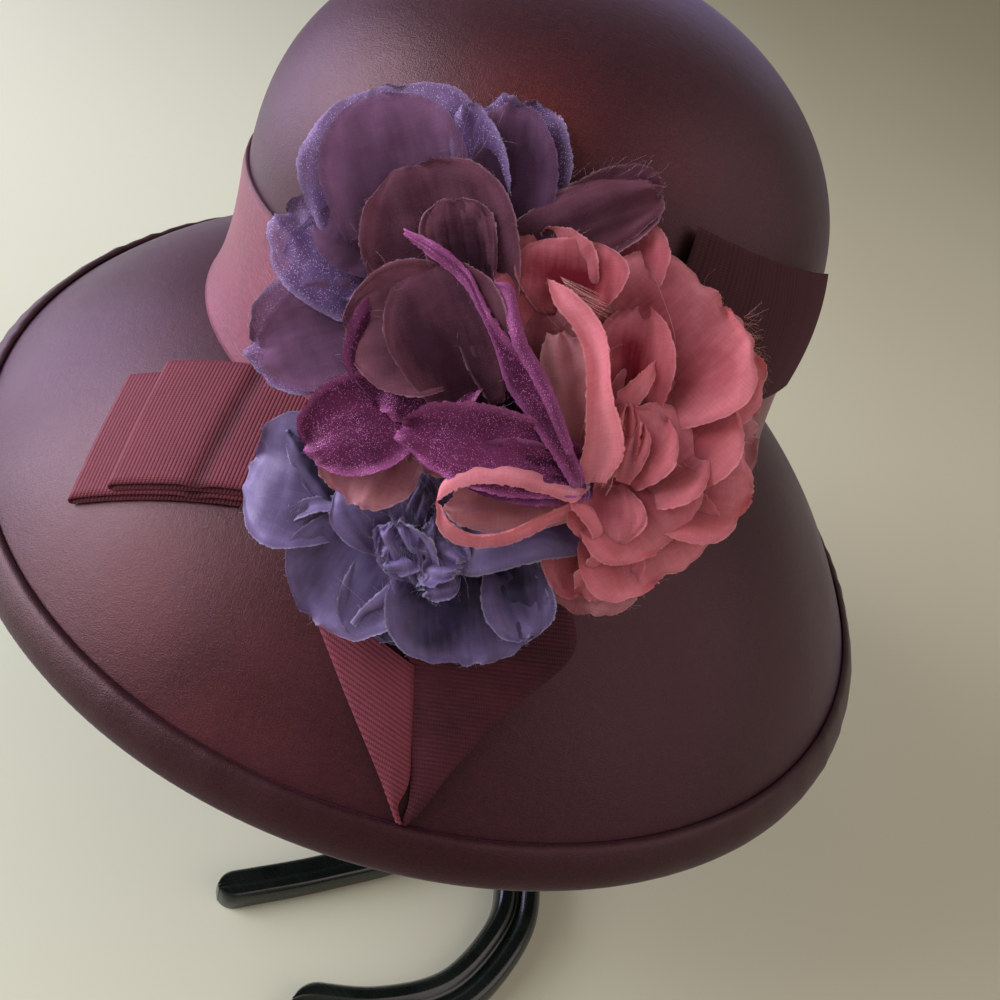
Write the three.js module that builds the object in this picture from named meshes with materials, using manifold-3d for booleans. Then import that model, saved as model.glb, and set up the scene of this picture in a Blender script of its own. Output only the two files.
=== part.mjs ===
// Church hat on a plain stand. Millimetres, +Z up.
// Origin: on the table, under the middle of the crown. The oval crown's long axis lies along X,
// and the trimmed side of the hat, with the flowers, faces -Y.
import * as THREE from 'three';
import { mergeVertices } from 'three/addons/utils/BufferGeometryUtils.js';
import Module from 'manifold-3d';

const wasm = await Module();
wasm.setup();

// Driving dimensions of the hat
const CROWN_BASE_Z = 200;
const CROWN = {
  halfLength: 100.3, halfWidth: 86.3, height: 130, wallHeight: 45, taper: 0.056, squareness: 2.185,
};
const CLOTH_WALL = 2;
const CROWN_INNER_TOP = 126;
const SEAT_GAP = 0.3;
const SPACE_DEPTH = 25;

// The brim's reach in plan and its drop, each as a mean with a first and a second wave round the oval
const BRIM_REACH = { mean: 78.2, cos1: 1.7, sin1: -3.0, cos2: -0.2, sin2: 0 };
const BRIM_DROP = { mean: 64.5, cos1: 9.8, sin1: -9.2, cos2: 4.0, sin2: 3.1 };
const BRIM_CURVE = { reach: 0.54, drop: 0.30 };
const OVAL_STEPS = 36;
const BRIM_STATIONS = [0, 0.25, 0.5, 0.73, 0.9, 1];

// The padded strip round the brim's edge and the cloth band round the crown
const BINDING = { pad: 2.2, wall: 1.2, padStart: 0.025, padEnd: 0.96, turn: 0.985, underStart: 0.02 };
const BAND = { height: 50, wall: 1.4, flare: 1.6, flareHeight: 14, foot: 0.4 };

// Heights over the crown's base at which its oval is worked out, shared by the pieces that touch
const BAND_HEIGHTS = [0, BAND.flareHeight, 30, BAND.height];
const DOME_HEIGHTS = [70, 90, 107, 119, CROWN_INNER_TOP, 129];

// Ribbed ribbon trim
const RIBBON = { width: 37, wall: 1.2 };

// The flowers' own frame: right, up and out of their common face
const CORSAGE = { x: 5.7, y: -106.1, z: 251.3, yaw: 4.12, pitch: 39.62, roll: 21.57 };
const PETAL_WALL = 1.2;
const PETAL_STEPS = { along: 5, across: 4 };
const PETAL_NECK = 0.3;
const PETAL_TIP = 0.96;

// The stand under the hat
const STAND = { hubRadius: 26, hubHeight: 14, postRadius: 7, topRadius: 42, topEdge: 5, topRise: 7 };

const DEG = Math.PI / 180;
const vec = (x, y, z) => new THREE.Vector3(x, y, z);

// Five-term wave round the oval, used for the brim's reach and drop
function waveAt(wave, theta) {
  return wave.mean + wave.cos1 * Math.cos(theta) + wave.sin1 * Math.sin(theta)
    + wave.cos2 * Math.cos(2 * theta) + wave.sin2 * Math.sin(2 * theta);
}

// Part of a Bezier curve from 0 to 1 whose middle point stands at the given share
const bend = (share, s) => 2 * s * (1 - s) * share + s * s;

// Top face of the brim at angle theta and share s of the way out, with the crown's base at z = 0
function brimTop(theta, s) {
  const reach = waveAt(BRIM_REACH, theta) * bend(BRIM_CURVE.reach, s);
  const drop = waveAt(BRIM_DROP, theta) * bend(BRIM_CURVE.drop, s);
  const x = (CROWN.halfLength + reach) * Math.cos(theta);
  const y = (CROWN.halfWidth + reach) * Math.sin(theta);
  return vec(x, y, CROWN_BASE_Z - drop);
}

// A point off the brim's top face: lift is along its upward normal, past is beyond its edge
function brimPoint(theta, s, lift, past = 0) {
  const step = 0.01;
  const here = brimTop(theta, s);
  const outward = brimTop(theta, s + step).sub(brimTop(theta, s - step)).normalize();
  const around = brimTop(theta + step, s).sub(brimTop(theta - step, s)).normalize();
  const normal = outward.clone().cross(around).normalize();
  return here.addScaledVector(normal, lift).addScaledVector(outward, past);
}

// Height of the brim's top face over a point in plan, by halving the offset oval through it
function brimHeight(x, y) {
  let low = -60;
  let high = 140;
  for (let round = 0; round < 40; round += 1) {
    const middle = (low + high) / 2;
    const size = (x / (CROWN.halfLength + middle)) ** 2 + (y / (CROWN.halfWidth + middle)) ** 2;
    if (size > 1) low = middle;
    else high = middle;
  }
  const theta = Math.atan2(y / (CROWN.halfWidth + low), x / (CROWN.halfLength + low));
  const share = low / waveAt(BRIM_REACH, theta);
  const linear = 2 * BRIM_CURVE.reach;
  const square = 1 - linear;
  const s = (-linear + Math.sqrt(linear * linear + 4 * square * share)) / (2 * square);
  return CROWN_BASE_Z - waveAt(BRIM_DROP, theta) * bend(BRIM_CURVE.drop, s);
}

// Half of the crown's oval at a height over its base, as a share of the base oval
function crownShare(height) {
  if (height <= CROWN.wallHeight) {
    return 1 - CROWN.taper * Math.sin(Math.PI / 2 * Math.max(height, 0) / CROWN.wallHeight);
  }
  const rise = (height - CROWN.wallHeight) / (CROWN.height - CROWN.wallHeight);
  const sine = Math.min(1, rise) ** (CROWN.squareness / 2);
  return (1 - CROWN.taper) * Math.sqrt(1 - sine * sine) ** (2 / CROWN.squareness);
}

// A point on the crown, grown outwards in plan
function crownPoint(theta, height, grow) {
  const share = crownShare(height);
  const x = (CROWN.halfLength * share + grow) * Math.cos(theta);
  const y = (CROWN.halfWidth * share + grow) * Math.sin(theta);
  return vec(x, y, CROWN_BASE_Z + height);
}

// One closed loop of points round the oval
function ovalLoop(count, pointAt) {
  return Array.from({ length: count }, (_, i) => pointAt(2 * Math.PI * i / count));
}

function geometryOf(points, faces) {
  const geometry = new THREE.BufferGeometry();
  const places = points.flatMap((p) => [p.x, p.y, p.z]);
  geometry.setAttribute('position', new THREE.Float32BufferAttribute(places, 3));
  geometry.setIndex(faces);
  return outward(mergeVertices(geometry, 1e-4));
}

// Turns a closed geometry so that its faces point out
function outward(geometry) {
  const position = geometry.getAttribute('position');
  const index = geometry.getIndex().array;
  const a = new THREE.Vector3();
  const b = new THREE.Vector3();
  const c = new THREE.Vector3();
  let volume = 0;
  for (let i = 0; i < index.length; i += 3) {
    a.fromBufferAttribute(position, index[i]);
    b.fromBufferAttribute(position, index[i + 1]);
    c.fromBufferAttribute(position, index[i + 2]);
    volume += a.dot(b.cross(c));
  }
  if (volume >= 0) return geometry;
  for (let i = 0; i < index.length; i += 3) {
    [index[i], index[i + 1]] = [index[i + 1], index[i]];
  }
  return geometry;
}

// Skin through closed loops of equal length. A ring joins its last loop to its first;
// otherwise each end is closed with a fan to its middle.
function loft(loops, ring) {
  const count = loops[0].length;
  const points = loops.flat();
  const faces = [];
  const last = ring ? loops.length : loops.length - 1;
  for (let row = 0; row < last; row += 1) {
    const next = (row + 1) % loops.length;
    for (let i = 0; i < count; i += 1) {
      const j = (i + 1) % count;
      faces.push(row * count + i, row * count + j, next * count + j);
      faces.push(row * count + i, next * count + j, next * count + i);
    }
  }
  if (!ring) {
    for (const row of [0, loops.length - 1]) {
      const middle = loops[row].reduce((sum, p) => sum.add(p), vec(0, 0, 0)).divideScalar(count);
      const hub = points.push(middle) - 1;
      for (let i = 0; i < count; i += 1) {
        const j = (i + 1) % count;
        if (row === 0) faces.push(hub, row * count + j, row * count + i);
        else faces.push(hub, row * count + i, row * count + j);
      }
    }
  }
  return geometryOf(points, faces);
}

// A cloth wall on both sides of a middle surface, closed round its rim
function sheet(surface, along, across, wall) {
  const step = 1e-3;
  const front = [];
  const back = [];
  for (let i = 0; i <= along; i += 1) {
    for (let j = 0; j <= across; j += 1) {
      const s = i / along;
      const t = -1 + 2 * j / across;
      const ds = surface(s + step, t).sub(surface(s - step, t));
      const dt = surface(s, t + step).sub(surface(s, t - step));
      const normal = ds.cross(dt).normalize();
      front.push(surface(s, t).addScaledVector(normal, wall / 2));
      back.push(surface(s, t).addScaledVector(normal, -wall / 2));
    }
  }
  const at = (i, j) => i * (across + 1) + j;
  const size = front.length;
  const faces = [];
  for (let i = 0; i < along; i += 1) {
    for (let j = 0; j < across; j += 1) {
      faces.push(at(i, j), at(i + 1, j), at(i + 1, j + 1), at(i, j), at(i + 1, j + 1), at(i, j + 1));
      faces.push(size + at(i, j), size + at(i + 1, j + 1), size + at(i + 1, j));
      faces.push(size + at(i, j), size + at(i, j + 1), size + at(i + 1, j + 1));
    }
  }
  const rim = [];
  for (let i = 0; i < along; i += 1) rim.push(at(i, 0));
  for (let j = 0; j < across; j += 1) rim.push(at(along, j));
  for (let i = along; i > 0; i -= 1) rim.push(at(i, across));
  for (let j = across; j > 0; j -= 1) rim.push(at(0, j));
  rim.forEach((a, k) => {
    const b = rim[(k + 1) % rim.length];
    faces.push(a, size + b, b, a, size + a, size + b);
  });
  return geometryOf([...front, ...back], faces);
}

// Joining and cutting
function toSolid(geometry) {
  const clean = geometry.clone();
  for (const name of Object.keys(clean.attributes)) {
    if (name !== 'position') clean.deleteAttribute(name);
  }
  const merged = mergeVertices(clean, 1e-4);
  return new wasm.Manifold(new wasm.Mesh({
    numProp: 3,
    vertProperties: new Float32Array(merged.getAttribute('position').array),
    triVerts: new Uint32Array(merged.getIndex().array),
  }));
}

function toGeometry(solid) {
  const mesh = solid.getMesh();
  const geometry = new THREE.BufferGeometry();
  geometry.setAttribute('position', new THREE.BufferAttribute(new Float32Array(mesh.vertProperties), 3));
  geometry.setIndex(new THREE.BufferAttribute(new Uint32Array(mesh.triVerts), 1));
  return geometry;
}

const fuse = (geometries) => geometries.map(toSolid).reduce((sum, next) => sum.add(next));

// The largest of the loose bodies that a cut leaves
function largest(solid) {
  return solid.decompose().reduce((best, next) => (next.volume() > best.volume() ? next : best));
}

// Crown: an open-bottomed oval dome, from its outer top down to its edge and up inside
function crownGeometry() {
  const heights = [...BAND_HEIGHTS, ...DOME_HEIGHTS];
  const outer = heights.map((h) => ovalLoop(OVAL_STEPS, (theta) => crownPoint(theta, h + SEAT_GAP, 0)));
  const inner = heights.filter((h) => h <= CROWN_INNER_TOP).map((h) => ovalLoop(OVAL_STEPS, (theta) => {
    const ratio = h / CROWN_INNER_TOP;
    const lowered = h + SEAT_GAP - CLOTH_WALL * ratio ** 4;
    return crownPoint(theta, lowered, -CLOTH_WALL * (1 + 0.4 * ratio));
  }));
  return loft([...outer.reverse(), ...inner], false);
}

// Brim: a sloping skirt with a downward curve, seated under the crown's edge
function brimGeometry() {
  const loops = ovalLoop(OVAL_STEPS, (theta) => {
    const setBack = (s) => (s === 1 ? -BINDING.pad - SEAT_GAP : 0);
    const top = BRIM_STATIONS.map((s) => brimPoint(theta, s, 0, setBack(s)));
    const under = BRIM_STATIONS.map((s) => brimPoint(theta, s, -CLOTH_WALL, setBack(s)));
    const collar = crownPoint(theta, 0, -CLOTH_WALL);
    const collarUnder = crownPoint(theta, -CLOTH_WALL, -CLOTH_WALL);
    return [collar, ...top, ...under.reverse(), collarUnder];
  });
  return loft(loops, true);
}

// Binding: a padded strip folded round the brim's edge
function bindingGeometry() {
  const start = BRIM_STATIONS[BRIM_STATIONS.length - 2] - 0.01;
  const padded = BINDING.pad;
  const outside = CLOTH_WALL + SEAT_GAP;
  const loops = ovalLoop(OVAL_STEPS, (theta) => [
    brimPoint(theta, start, SEAT_GAP),
    brimPoint(theta, start, SEAT_GAP + BINDING.wall),
    brimPoint(theta, start + BINDING.padStart, SEAT_GAP + padded),
    brimPoint(theta, BINDING.padEnd, SEAT_GAP + padded),
    brimPoint(theta, BINDING.turn, SEAT_GAP + BINDING.wall),
    brimPoint(theta, 1, -CLOTH_WALL / 2),
    brimPoint(theta, BINDING.turn, -outside - BINDING.wall),
    brimPoint(theta, start + BINDING.underStart, -outside - BINDING.wall),
    brimPoint(theta, start + BINDING.underStart, -outside),
    brimPoint(theta, BINDING.turn, -outside),
    brimPoint(theta, BINDING.turn, SEAT_GAP),
  ]);
  return loft(loops, true);
}

// How far the band stands off the crown at a height over its base
function bandOffset(height) {
  const low = Math.max(0, 1 - height / BAND.flareHeight);
  return SEAT_GAP + BAND.flare * low * low;
}

// Band: a bias strip round the crown that stands out a little at its foot
function bandGeometry() {
  const heights = [BAND.foot, ...BAND_HEIGHTS.slice(1)];
  const loops = ovalLoop(OVAL_STEPS, (theta) => {
    const inside = heights.map((h) => crownPoint(theta, h, bandOffset(h)));
    const outside = heights.map((h) => crownPoint(theta, h, bandOffset(h) + BAND.wall));
    return [...inside, ...outside.reverse()];
  });
  return loft(loops, true);
}

// The space that the hat's body and band take, grown by a gap, which the trim is cut back from
function bodySpace(grow) {
  const domeLoop = (h) => ovalLoop(OVAL_STEPS, (theta) => crownPoint(theta, h + grow, grow));
  const bandFace = (h) => bandOffset(h) + BAND.wall + grow;
  const bandLoop = (h) => ovalLoop(OVAL_STEPS, (theta) => crownPoint(theta, h, bandFace(h)));
  const bandHeights = [BAND.height + SEAT_GAP, ...BAND_HEIGHTS.slice(1, 3).reverse(), BAND.foot];
  const loops = [
    ...[...DOME_HEIGHTS].reverse().map(domeLoop),
    ...bandHeights.map(bandLoop),
    ...BRIM_STATIONS.slice(1).map((s) => ovalLoop(OVAL_STEPS, (theta) => brimPoint(theta, s, grow))),
    ...[1, 0.3].map((s) => ovalLoop(OVAL_STEPS, (theta) => brimPoint(theta, s, -SPACE_DEPTH))),
  ];
  return toSolid(loft(loops, false));
}

// Ribbon layer laid on the brim along a straight line in plan, at a lift over the brim's face
function laidPoint(line, along, across, lift) {
  const x = line.x + line.dx * along - line.dy * across;
  const y = line.y + line.dy * along + line.dx * across;
  return vec(x, y, brimHeight(x, y) + lift);
}

// Side loops: each is a length of ribbon that runs out on the brim, turns over and comes back.
// Rows: reach of the fold from the line's start, lift of the lower layer, thickness of the loop
const SIDE_LINE = { x: -42, y: -85.5, dx: -0.99995, dy: 0.01 };
const SIDE_LOOPS = [
  { name: 'side_loop_lower', reach: 64, lift: 1.5, rise: 2.2 },
  { name: 'side_loop_upper', reach: 52, lift: 5.8, rise: 2.2 },
];

const FOLD_START = 6 / 14;

function sideLoopGeometry(loop) {
  const radius = loop.rise / 2;
  const straight = loop.reach - radius;
  const surface = (s, t) => {
    const across = t * RIBBON.width / 2;
    const turn = THREE.MathUtils.clamp((s - FOLD_START) / (1 - 2 * FOLD_START), 0, 1) * Math.PI;
    const out = straight * THREE.MathUtils.clamp(s / FOLD_START, -1, 1);
    const back = straight * THREE.MathUtils.clamp((s - 1 + FOLD_START) / FOLD_START, 0, 2);
    const along = out - back + radius * Math.sin(turn);
    const lift = loop.lift + radius * (1 - Math.cos(turn));
    return laidPoint(SIDE_LINE, along, across, lift);
  };
  return sheet(surface, 14, 3, RIBBON.wall);
}

// The space that a side loop fills, down to the brim
function sideLoopSpace(loop) {
  const middle = loop.rise / 2 + loop.lift;
  const surface = (s, t) => laidPoint(SIDE_LINE, (loop.reach + 1) * s, t * (RIBBON.width / 2 + 1), middle);
  return sheet(surface, 14, 5, loop.rise + RIBBON.wall + 2 * SEAT_GAP);
}

// Front point: ribbon folded to a point on the brim, its two flaps meeting along the middle
const FRONT_POINT = {
  tip: { x: 18, y: -159 }, left: { x: -28, y: -122 }, right: { x: 52, y: -113 },
  lift: 2.4, puff: 2.0, crease: 0.8, creaseHalf: 0.17, tipShare: 0.04,
};

function foldedPoint(shape, heightAt, s, t) {
  const side = t < 0 ? shape.left : shape.right;
  const middleX = (shape.left.x + shape.right.x) / 2;
  const middleY = (shape.left.y + shape.right.y) / 2;
  const share = Math.abs(t);
  const farX = middleX + (side.x - middleX) * share;
  const farY = middleY + (side.y - middleY) * share;
  const reach = shape.tipShare + (1 - shape.tipShare) * s;
  const x = shape.tip.x + (farX - shape.tip.x) * reach;
  const y = shape.tip.y + (farY - shape.tip.y) * reach;
  const dome = shape.puff * Math.sin(Math.PI * Math.min(1, share)) * THREE.MathUtils.lerp(0.35, 1, s);
  const seam = shape.crease * Math.max(0, 1 - share / shape.creaseHalf);
  return vec(x, y, heightAt(x, y) + shape.lift + dome - seam);
}

// Crown point: the same fold standing against the side of the crown.
// Corners by angle round the crown, height over its base and distance off the crown.
const CROWN_POINT = {
  tip: { theta: -22, height: 80, off: 4 },
  top: { theta: -62, height: 94, off: 4 },
  low: { theta: -24, height: 44, off: 4 },
  inner: { theta: -71, height: 45, off: 5 },
};

function crownPointSurface(s, t) {
  const across = (t + 1) / 2;
  const corner = (key) => {
    const near = THREE.MathUtils.lerp(CROWN_POINT.top[key], CROWN_POINT.tip[key], s);
    const far = THREE.MathUtils.lerp(CROWN_POINT.inner[key], CROWN_POINT.low[key], s);
    return THREE.MathUtils.lerp(near, far, across);
  };
  const bulge = 1.6 * Math.sin(Math.PI * s) * Math.sin(Math.PI * across);
  return crownPoint(corner('theta') * DEG, corner('height'), corner('off') + bulge);
}

// Corsage frame: right and up lie in the flowers' common face, and out leaves it
const pitchCos = Math.cos(CORSAGE.pitch * DEG);
const inwards = vec(Math.sin(CORSAGE.yaw * DEG) * pitchCos, Math.cos(CORSAGE.yaw * DEG) * pitchCos,
  -Math.sin(CORSAGE.pitch * DEG));
const OUT = inwards.clone().negate();
const levelRight = vec(Math.cos(CORSAGE.yaw * DEG), -Math.sin(CORSAGE.yaw * DEG), 0);
const RIGHT = levelRight.clone().applyAxisAngle(OUT, CORSAGE.roll * DEG);
const UP = OUT.clone().cross(RIGHT).normalize();
const CORSAGE_ORIGIN = vec(CORSAGE.x, CORSAGE.y, CORSAGE.z);

const inCorsage = (p) => CORSAGE_ORIGIN.clone()
  .addScaledVector(RIGHT, p.x).addScaledVector(UP, p.y).addScaledVector(OUT, p.z);

// Share of its full width that a petal has at share s of its length
function petalShare(s, broad) {
  if (s <= broad) return THREE.MathUtils.lerp(PETAL_NECK, 1, Math.sin(Math.PI / 2 * Math.max(s, 0) / broad));
  const q = Math.min(1, (s - broad) / (1 - broad));
  return Math.sqrt(1 - PETAL_TIP * q * q);
}

// A petal runs from its base to its tip. Bow lifts its middle out of line, arc bends it across,
// roll turns it about its length, and ruffle waves its free rim.
function petalSurface(petal) {
  const base = vec(petal.bu, petal.bv, petal.bw);
  const tip = vec(petal.tu, petal.tv, petal.tw);
  const axis = tip.clone().sub(base);
  const along = axis.clone().normalize();
  const flatSide = along.clone().cross(vec(0, 0, 1)).normalize();
  const flatNormal = flatSide.clone().cross(along).normalize();
  return (s, t) => {
    const turn = petal.roll * DEG;
    const side = flatSide.clone().multiplyScalar(Math.cos(turn)).addScaledVector(flatNormal, Math.sin(turn));
    const normal = side.clone().cross(along).normalize();
    const half = petal.width / 2 * petalShare(s, petal.broad);
    const angle = Math.max(Math.abs(petal.arc), 1) / 2 * DEG;
    const lean = Math.sign(petal.arc) || 1;
    const across = half / angle * Math.sin(angle * t);
    const cup = lean * half / angle * (1 - Math.cos(angle * t));
    const rim = Math.max(s, 0) ** 1.5;
    const wave = petal.ruffle * rim * Math.sin(petal.waves * Math.PI * t / 2 + petal.waves);
    const rise = petal.bow * Math.sin(Math.PI * s);
    const point = base.clone().addScaledVector(axis, s);
    point.addScaledVector(side, across).addScaledVector(normal, rise + cup + wave);
    return inCorsage(point);
  };
}

function petalGeometry(petal, wall) {
  return sheet(petalSurface(petal), PETAL_STEPS.along, PETAL_STEPS.across, wall);
}

// A twisted strip through stations: place, width, roll about its run and arc across it
function stripGeometry(stations, wall) {
  const run = new THREE.CatmullRomCurve3(stations.map((row) => vec(row.u, row.v, row.w)));
  const valueAt = (key, s) => {
    const place = THREE.MathUtils.clamp(s, 0, 1) * (stations.length - 1);
    const row = Math.min(Math.floor(place), stations.length - 2);
    return THREE.MathUtils.lerp(stations[row][key], stations[row + 1][key], place - row);
  };
  const surface = (s, t) => {
    const clamped = THREE.MathUtils.clamp(s, 0, 1);
    const along = run.getTangent(clamped);
    const flatSide = along.clone().cross(vec(0, 0, 1)).normalize();
    const flatNormal = flatSide.clone().cross(along).normalize();
    const turn = valueAt('roll', s) * DEG;
    const side = flatSide.clone().multiplyScalar(Math.cos(turn)).addScaledVector(flatNormal, Math.sin(turn));
    const normal = side.clone().cross(along).normalize();
    const half = valueAt('width', s) / 2;
    const angle = Math.max(valueAt('arc', s), 1) / 2 * DEG;
    const point = run.getPoint(clamped).addScaledVector(along, (s - clamped) * 10);
    point.addScaledVector(side, half / angle * Math.sin(angle * t));
    point.addScaledVector(normal, half / angle * (1 - Math.cos(angle * t)));
    return inCorsage(point);
  };
  return sheet(surface, stations.length * 2, 5, wall);
}

const rowOf = (columns, row) => Object.fromEntries(columns.map((key, i) => [key, row[i]]));
const rowsOf = (columns, rows) => rows.map((row) => rowOf(columns, row));

// Petals. b and t are the base and the tip, u right, v up and w out of the corsage's face.
const PETAL_COLUMNS = [
  'bu', 'bv', 'bw', 'tu', 'tv', 'tw', 'width', 'broad', 'bow', 'arc', 'roll', 'ruffle', 'waves',
];
const STRIP_COLUMNS = ['u', 'v', 'w', 'width', 'roll', 'arc'];

const PURPLE = {
  name: 'flower_purple', finish: 'purple',
  knot: { u: -8, v: 21, w: -9, radius: 12, depth: 18 },
  petals: rowsOf(PETAL_COLUMNS, [
    [-18, 30, -10, -29, 78, 0, 47, 0.60, 4, 40, 0, 1.2, 3],
    [-5, 34, -3, 1, 72, 6, 30, 0.60, 2, 30, 0, 1.0, 3],
    [-4, 30, 0, 39, 51, 9, 22, 0.50, 3, 80, 20, 0.8, 2],
    [-18, 30, -8, -54, 43, -8, 28, 0.65, 3, 30, 0, 1.0, 2],
    [-18, 20, -8, -65, 14, -12, 36, 0.62, 3, 30, 0, 1.5, 3],
    [-13, 8, 0, -37, -25, 6, 34, 0.65, 5, 50, 0, 1.0, 3],
    [0, 8, 2, -2, -24, 9, 42, 0.55, 5, 40, 0, 1.0, 2],
    [-11, 27, 2, -17, 55, 7, 26, 0.65, 4, 60, 0, 1.0, 3],
    [-5, 16, 4, -37, 16, 10, 38, 0.55, 6, 50, -5, 1.0, 3],
    [-7, 10, 3, -28, -5, 7, 26, 0.60, 4, 40, 0, 0.8, 3],
  ]),
  strips: [
    rowsOf(STRIP_COLUMNS, [
      [-21, 37, 13, 3, 0, 20],
      [-12, 29, 15, 5, 10, 40],
      [-2, 21, 15, 5, 40, 60],
      [6, 6, 15, 14, 25, 60],
      [14, -8, 12, 12, 20, 60],
      [20, -21, 10, 4, 20, 40],
    ]),
  ],
};

const PINK = {
  name: 'flower_pink', finish: 'pink',
  knot: { u: 37, v: -15, w: -22, radius: 10, depth: 14 },
  petals: rowsOf(PETAL_COLUMNS, [
    [34, 0, -12, 17, 43, 8, 42, 0.65, 5, -50, -10, 1.0, 2],
    [38, -4, -16, 53, 34, -6, 46, 0.60, 5, 50, 0, 1.5, 3],
    [40, -8, -16, 68, 15, -14, 28, 0.65, 4, 40, 0, 1.5, 3],
    [24, -16, 2, 16, 17, 6, 12, 0.50, 2, 60, 35, 0.5, 2],
    [37, -10, -12, 35, 23, -2, 20, 0.60, 3, 60, 0, 0.6, 2],
    [37, -14, -14, 55, 6, -8, 26, 0.60, 4, 50, 0, 0.8, 2],
    [38, -17, -16, 66, -24, -16, 26, 0.60, 4, 40, 0, 1.0, 2],
    [37, -20, -16, 42, -45, -14, 30, 0.60, 4, 40, 0, 1.0, 3],
    [38, -18, -16, 57, -36, -18, 26, 0.60, 4, 40, 0, 1.0, 2],
    [46, -6, -24, 71, -5, -33, 26, 0.60, 2, 20, 0, 1.0, 2],
    [36, -20, -18, 21, -56, -19, 20, 0.60, 4, 30, 0, 1.0, 2],
  ]),
  strips: [
    rowsOf(STRIP_COLUMNS, [
      [12, 27, 10, 5, 40, 60],
      [18, 16, 13, 8, 30, 90],
      [22, 2, 13, 8, 25, 90],
      [24, -11, 11, 8, 25, 80],
      [25, -19, 5, 8, 20, 60],
      [32, -17, -9, 8, 0, 30],
    ]),
    rowsOf(STRIP_COLUMNS, [
      [-13, -26, 12, 22, 20, 210],
      [0, -25, 13, 22, 20, 190],
      [12, -29, 11, 20, 20, 150],
      [22, -36, 4, 16, 10, 90],
      [30, -33, -10, 12, 0, 60],
    ]),
  ],
};

const BLUE = {
  name: 'flower_blue', finish: 'blue',
  knot: { u: -20, v: -37, w: -25, radius: 11, depth: 20 },
  petals: rowsOf(PETAL_COLUMNS, [
    [-27, -29, -16, -65, -17, -16, 33, 0.60, 4, 45, 0, 1.5, 2],
    [-26, -38, -20, -50, -56, -17, 28, 0.60, 4, 40, 0, 1.2, 3],
    [-17, -38, -20, -5, -68, -16, 40, 0.58, 4, 35, 0, 1.0, 3],
    [-15, -38, -14, 23, -37, -2, 17, 0.60, 3, 80, 20, 0.8, 2],
    [-24, -32, -16, -44, -20, -12, 22, 0.60, 3, 60, 0, 1.0, 2],
    [-20, -32, -15, -13, -17, -9, 16, 0.60, 3, 60, 0, 1.0, 2],
    [-20, -37, -14, -26, -24, -6, 10, 0.50, 1, 90, 30, 0.8, 2],
    [-18, -38, -14, -12, -28, -5, 10, 0.50, 1, 90, -30, 0.8, 2],
    [-20, -40, -14, -18, -52, -7, 12, 0.50, 1, 80, 0, 0.8, 2],
  ]),
  strips: [],
};

// One flower: a hidden knot of cloth with every petal and strip fused to it
function flowerSolid(flower, grow) {
  const { u, v, w, radius, depth } = flower.knot;
  const knot = new THREE.SphereGeometry(1, 10, 6);
  knot.scale(radius + grow, radius + grow, depth + grow);
  knot.applyMatrix4(new THREE.Matrix4().makeBasis(RIGHT, UP, OUT).setPosition(inCorsage(vec(u, v, w))));
  const wall = PETAL_WALL + 2 * grow;
  const petals = flower.petals.map((petal) => petalGeometry(petal, wall));
  const strips = flower.strips.map((stations) => stripGeometry(stations, wall));
  return fuse([knot, ...petals, ...strips]);
}

// Stand: four bowed bars from a hub, a post and a domed rest inside the crown.
// Each bar's middle line in plan, from the hub outwards; the opposite bar is the same, half a turn round.
const STAND_BARS = [
  { width: 13, height: 9, groove: 0.6,
    line: [[8, -6], [34, -26], [48, -54], [38, -82], [4, -106], [-33, -127]] },
  { width: 19, height: 10, groove: 3,
    line: [[14, 2], [52, -14], [76, -48], [84, -84], [83, -108], [67, -137], [40, -153], [8, -160]] },
];

function barGeometry(bar) {
  const steps = 12;
  const run = new THREE.CatmullRomCurve3(bar.line.map(([x, y]) => vec(x, y, 0)));
  const loops = [];
  for (let i = 0; i <= steps; i += 1) {
    const s = i / steps;
    const middle = run.getPointAt(s);
    const ahead = run.getTangentAt(s);
    const side = vec(-ahead.y, ahead.x, 0);
    const end = Math.min(1, (1 - s) * steps / 2 + 0.45);
    const half = bar.width / 2 * Math.sqrt(end);
    const top = bar.height;
    const section = [
      [-half, 0], [-half, top * 0.7], [-half * 0.72, top], [-half * 0.34, top],
      [0, top - bar.groove], [half * 0.34, top], [half * 0.72, top], [half, top * 0.7], [half, 0],
    ];
    loops.push(section.map(([across, z]) => middle.clone().addScaledVector(side, across).setZ(z)));
  }
  return loft(loops, false);
}

function standBaseGeometry() {
  const hub = new THREE.CylinderGeometry(STAND.hubRadius - 3, STAND.hubRadius, STAND.hubHeight, 24);
  hub.rotateX(Math.PI / 2);
  hub.translate(0, 0, STAND.hubHeight / 2);
  const bars = STAND_BARS.flatMap((bar) => [0, Math.PI].map((turn) => barGeometry(bar).rotateZ(turn)));
  return toGeometry(fuse([hub, ...bars]));
}

function standPostGeometry() {
  const bottom = STAND.hubHeight + SEAT_GAP;
  const top = crownRestHeight() - STAND.topEdge - STAND.topRise - SEAT_GAP;
  const post = new THREE.CylinderGeometry(STAND.postRadius, STAND.postRadius, top - bottom, 16);
  post.rotateX(Math.PI / 2);
  post.translate(0, 0, (top + bottom) / 2);
  return post;
}

// Height of the highest point inside the crown, less the seat gap
function crownRestHeight() {
  const innerTop = CROWN_BASE_Z + CROWN_INNER_TOP + SEAT_GAP - CLOTH_WALL;
  return innerTop - SEAT_GAP;
}

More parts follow.
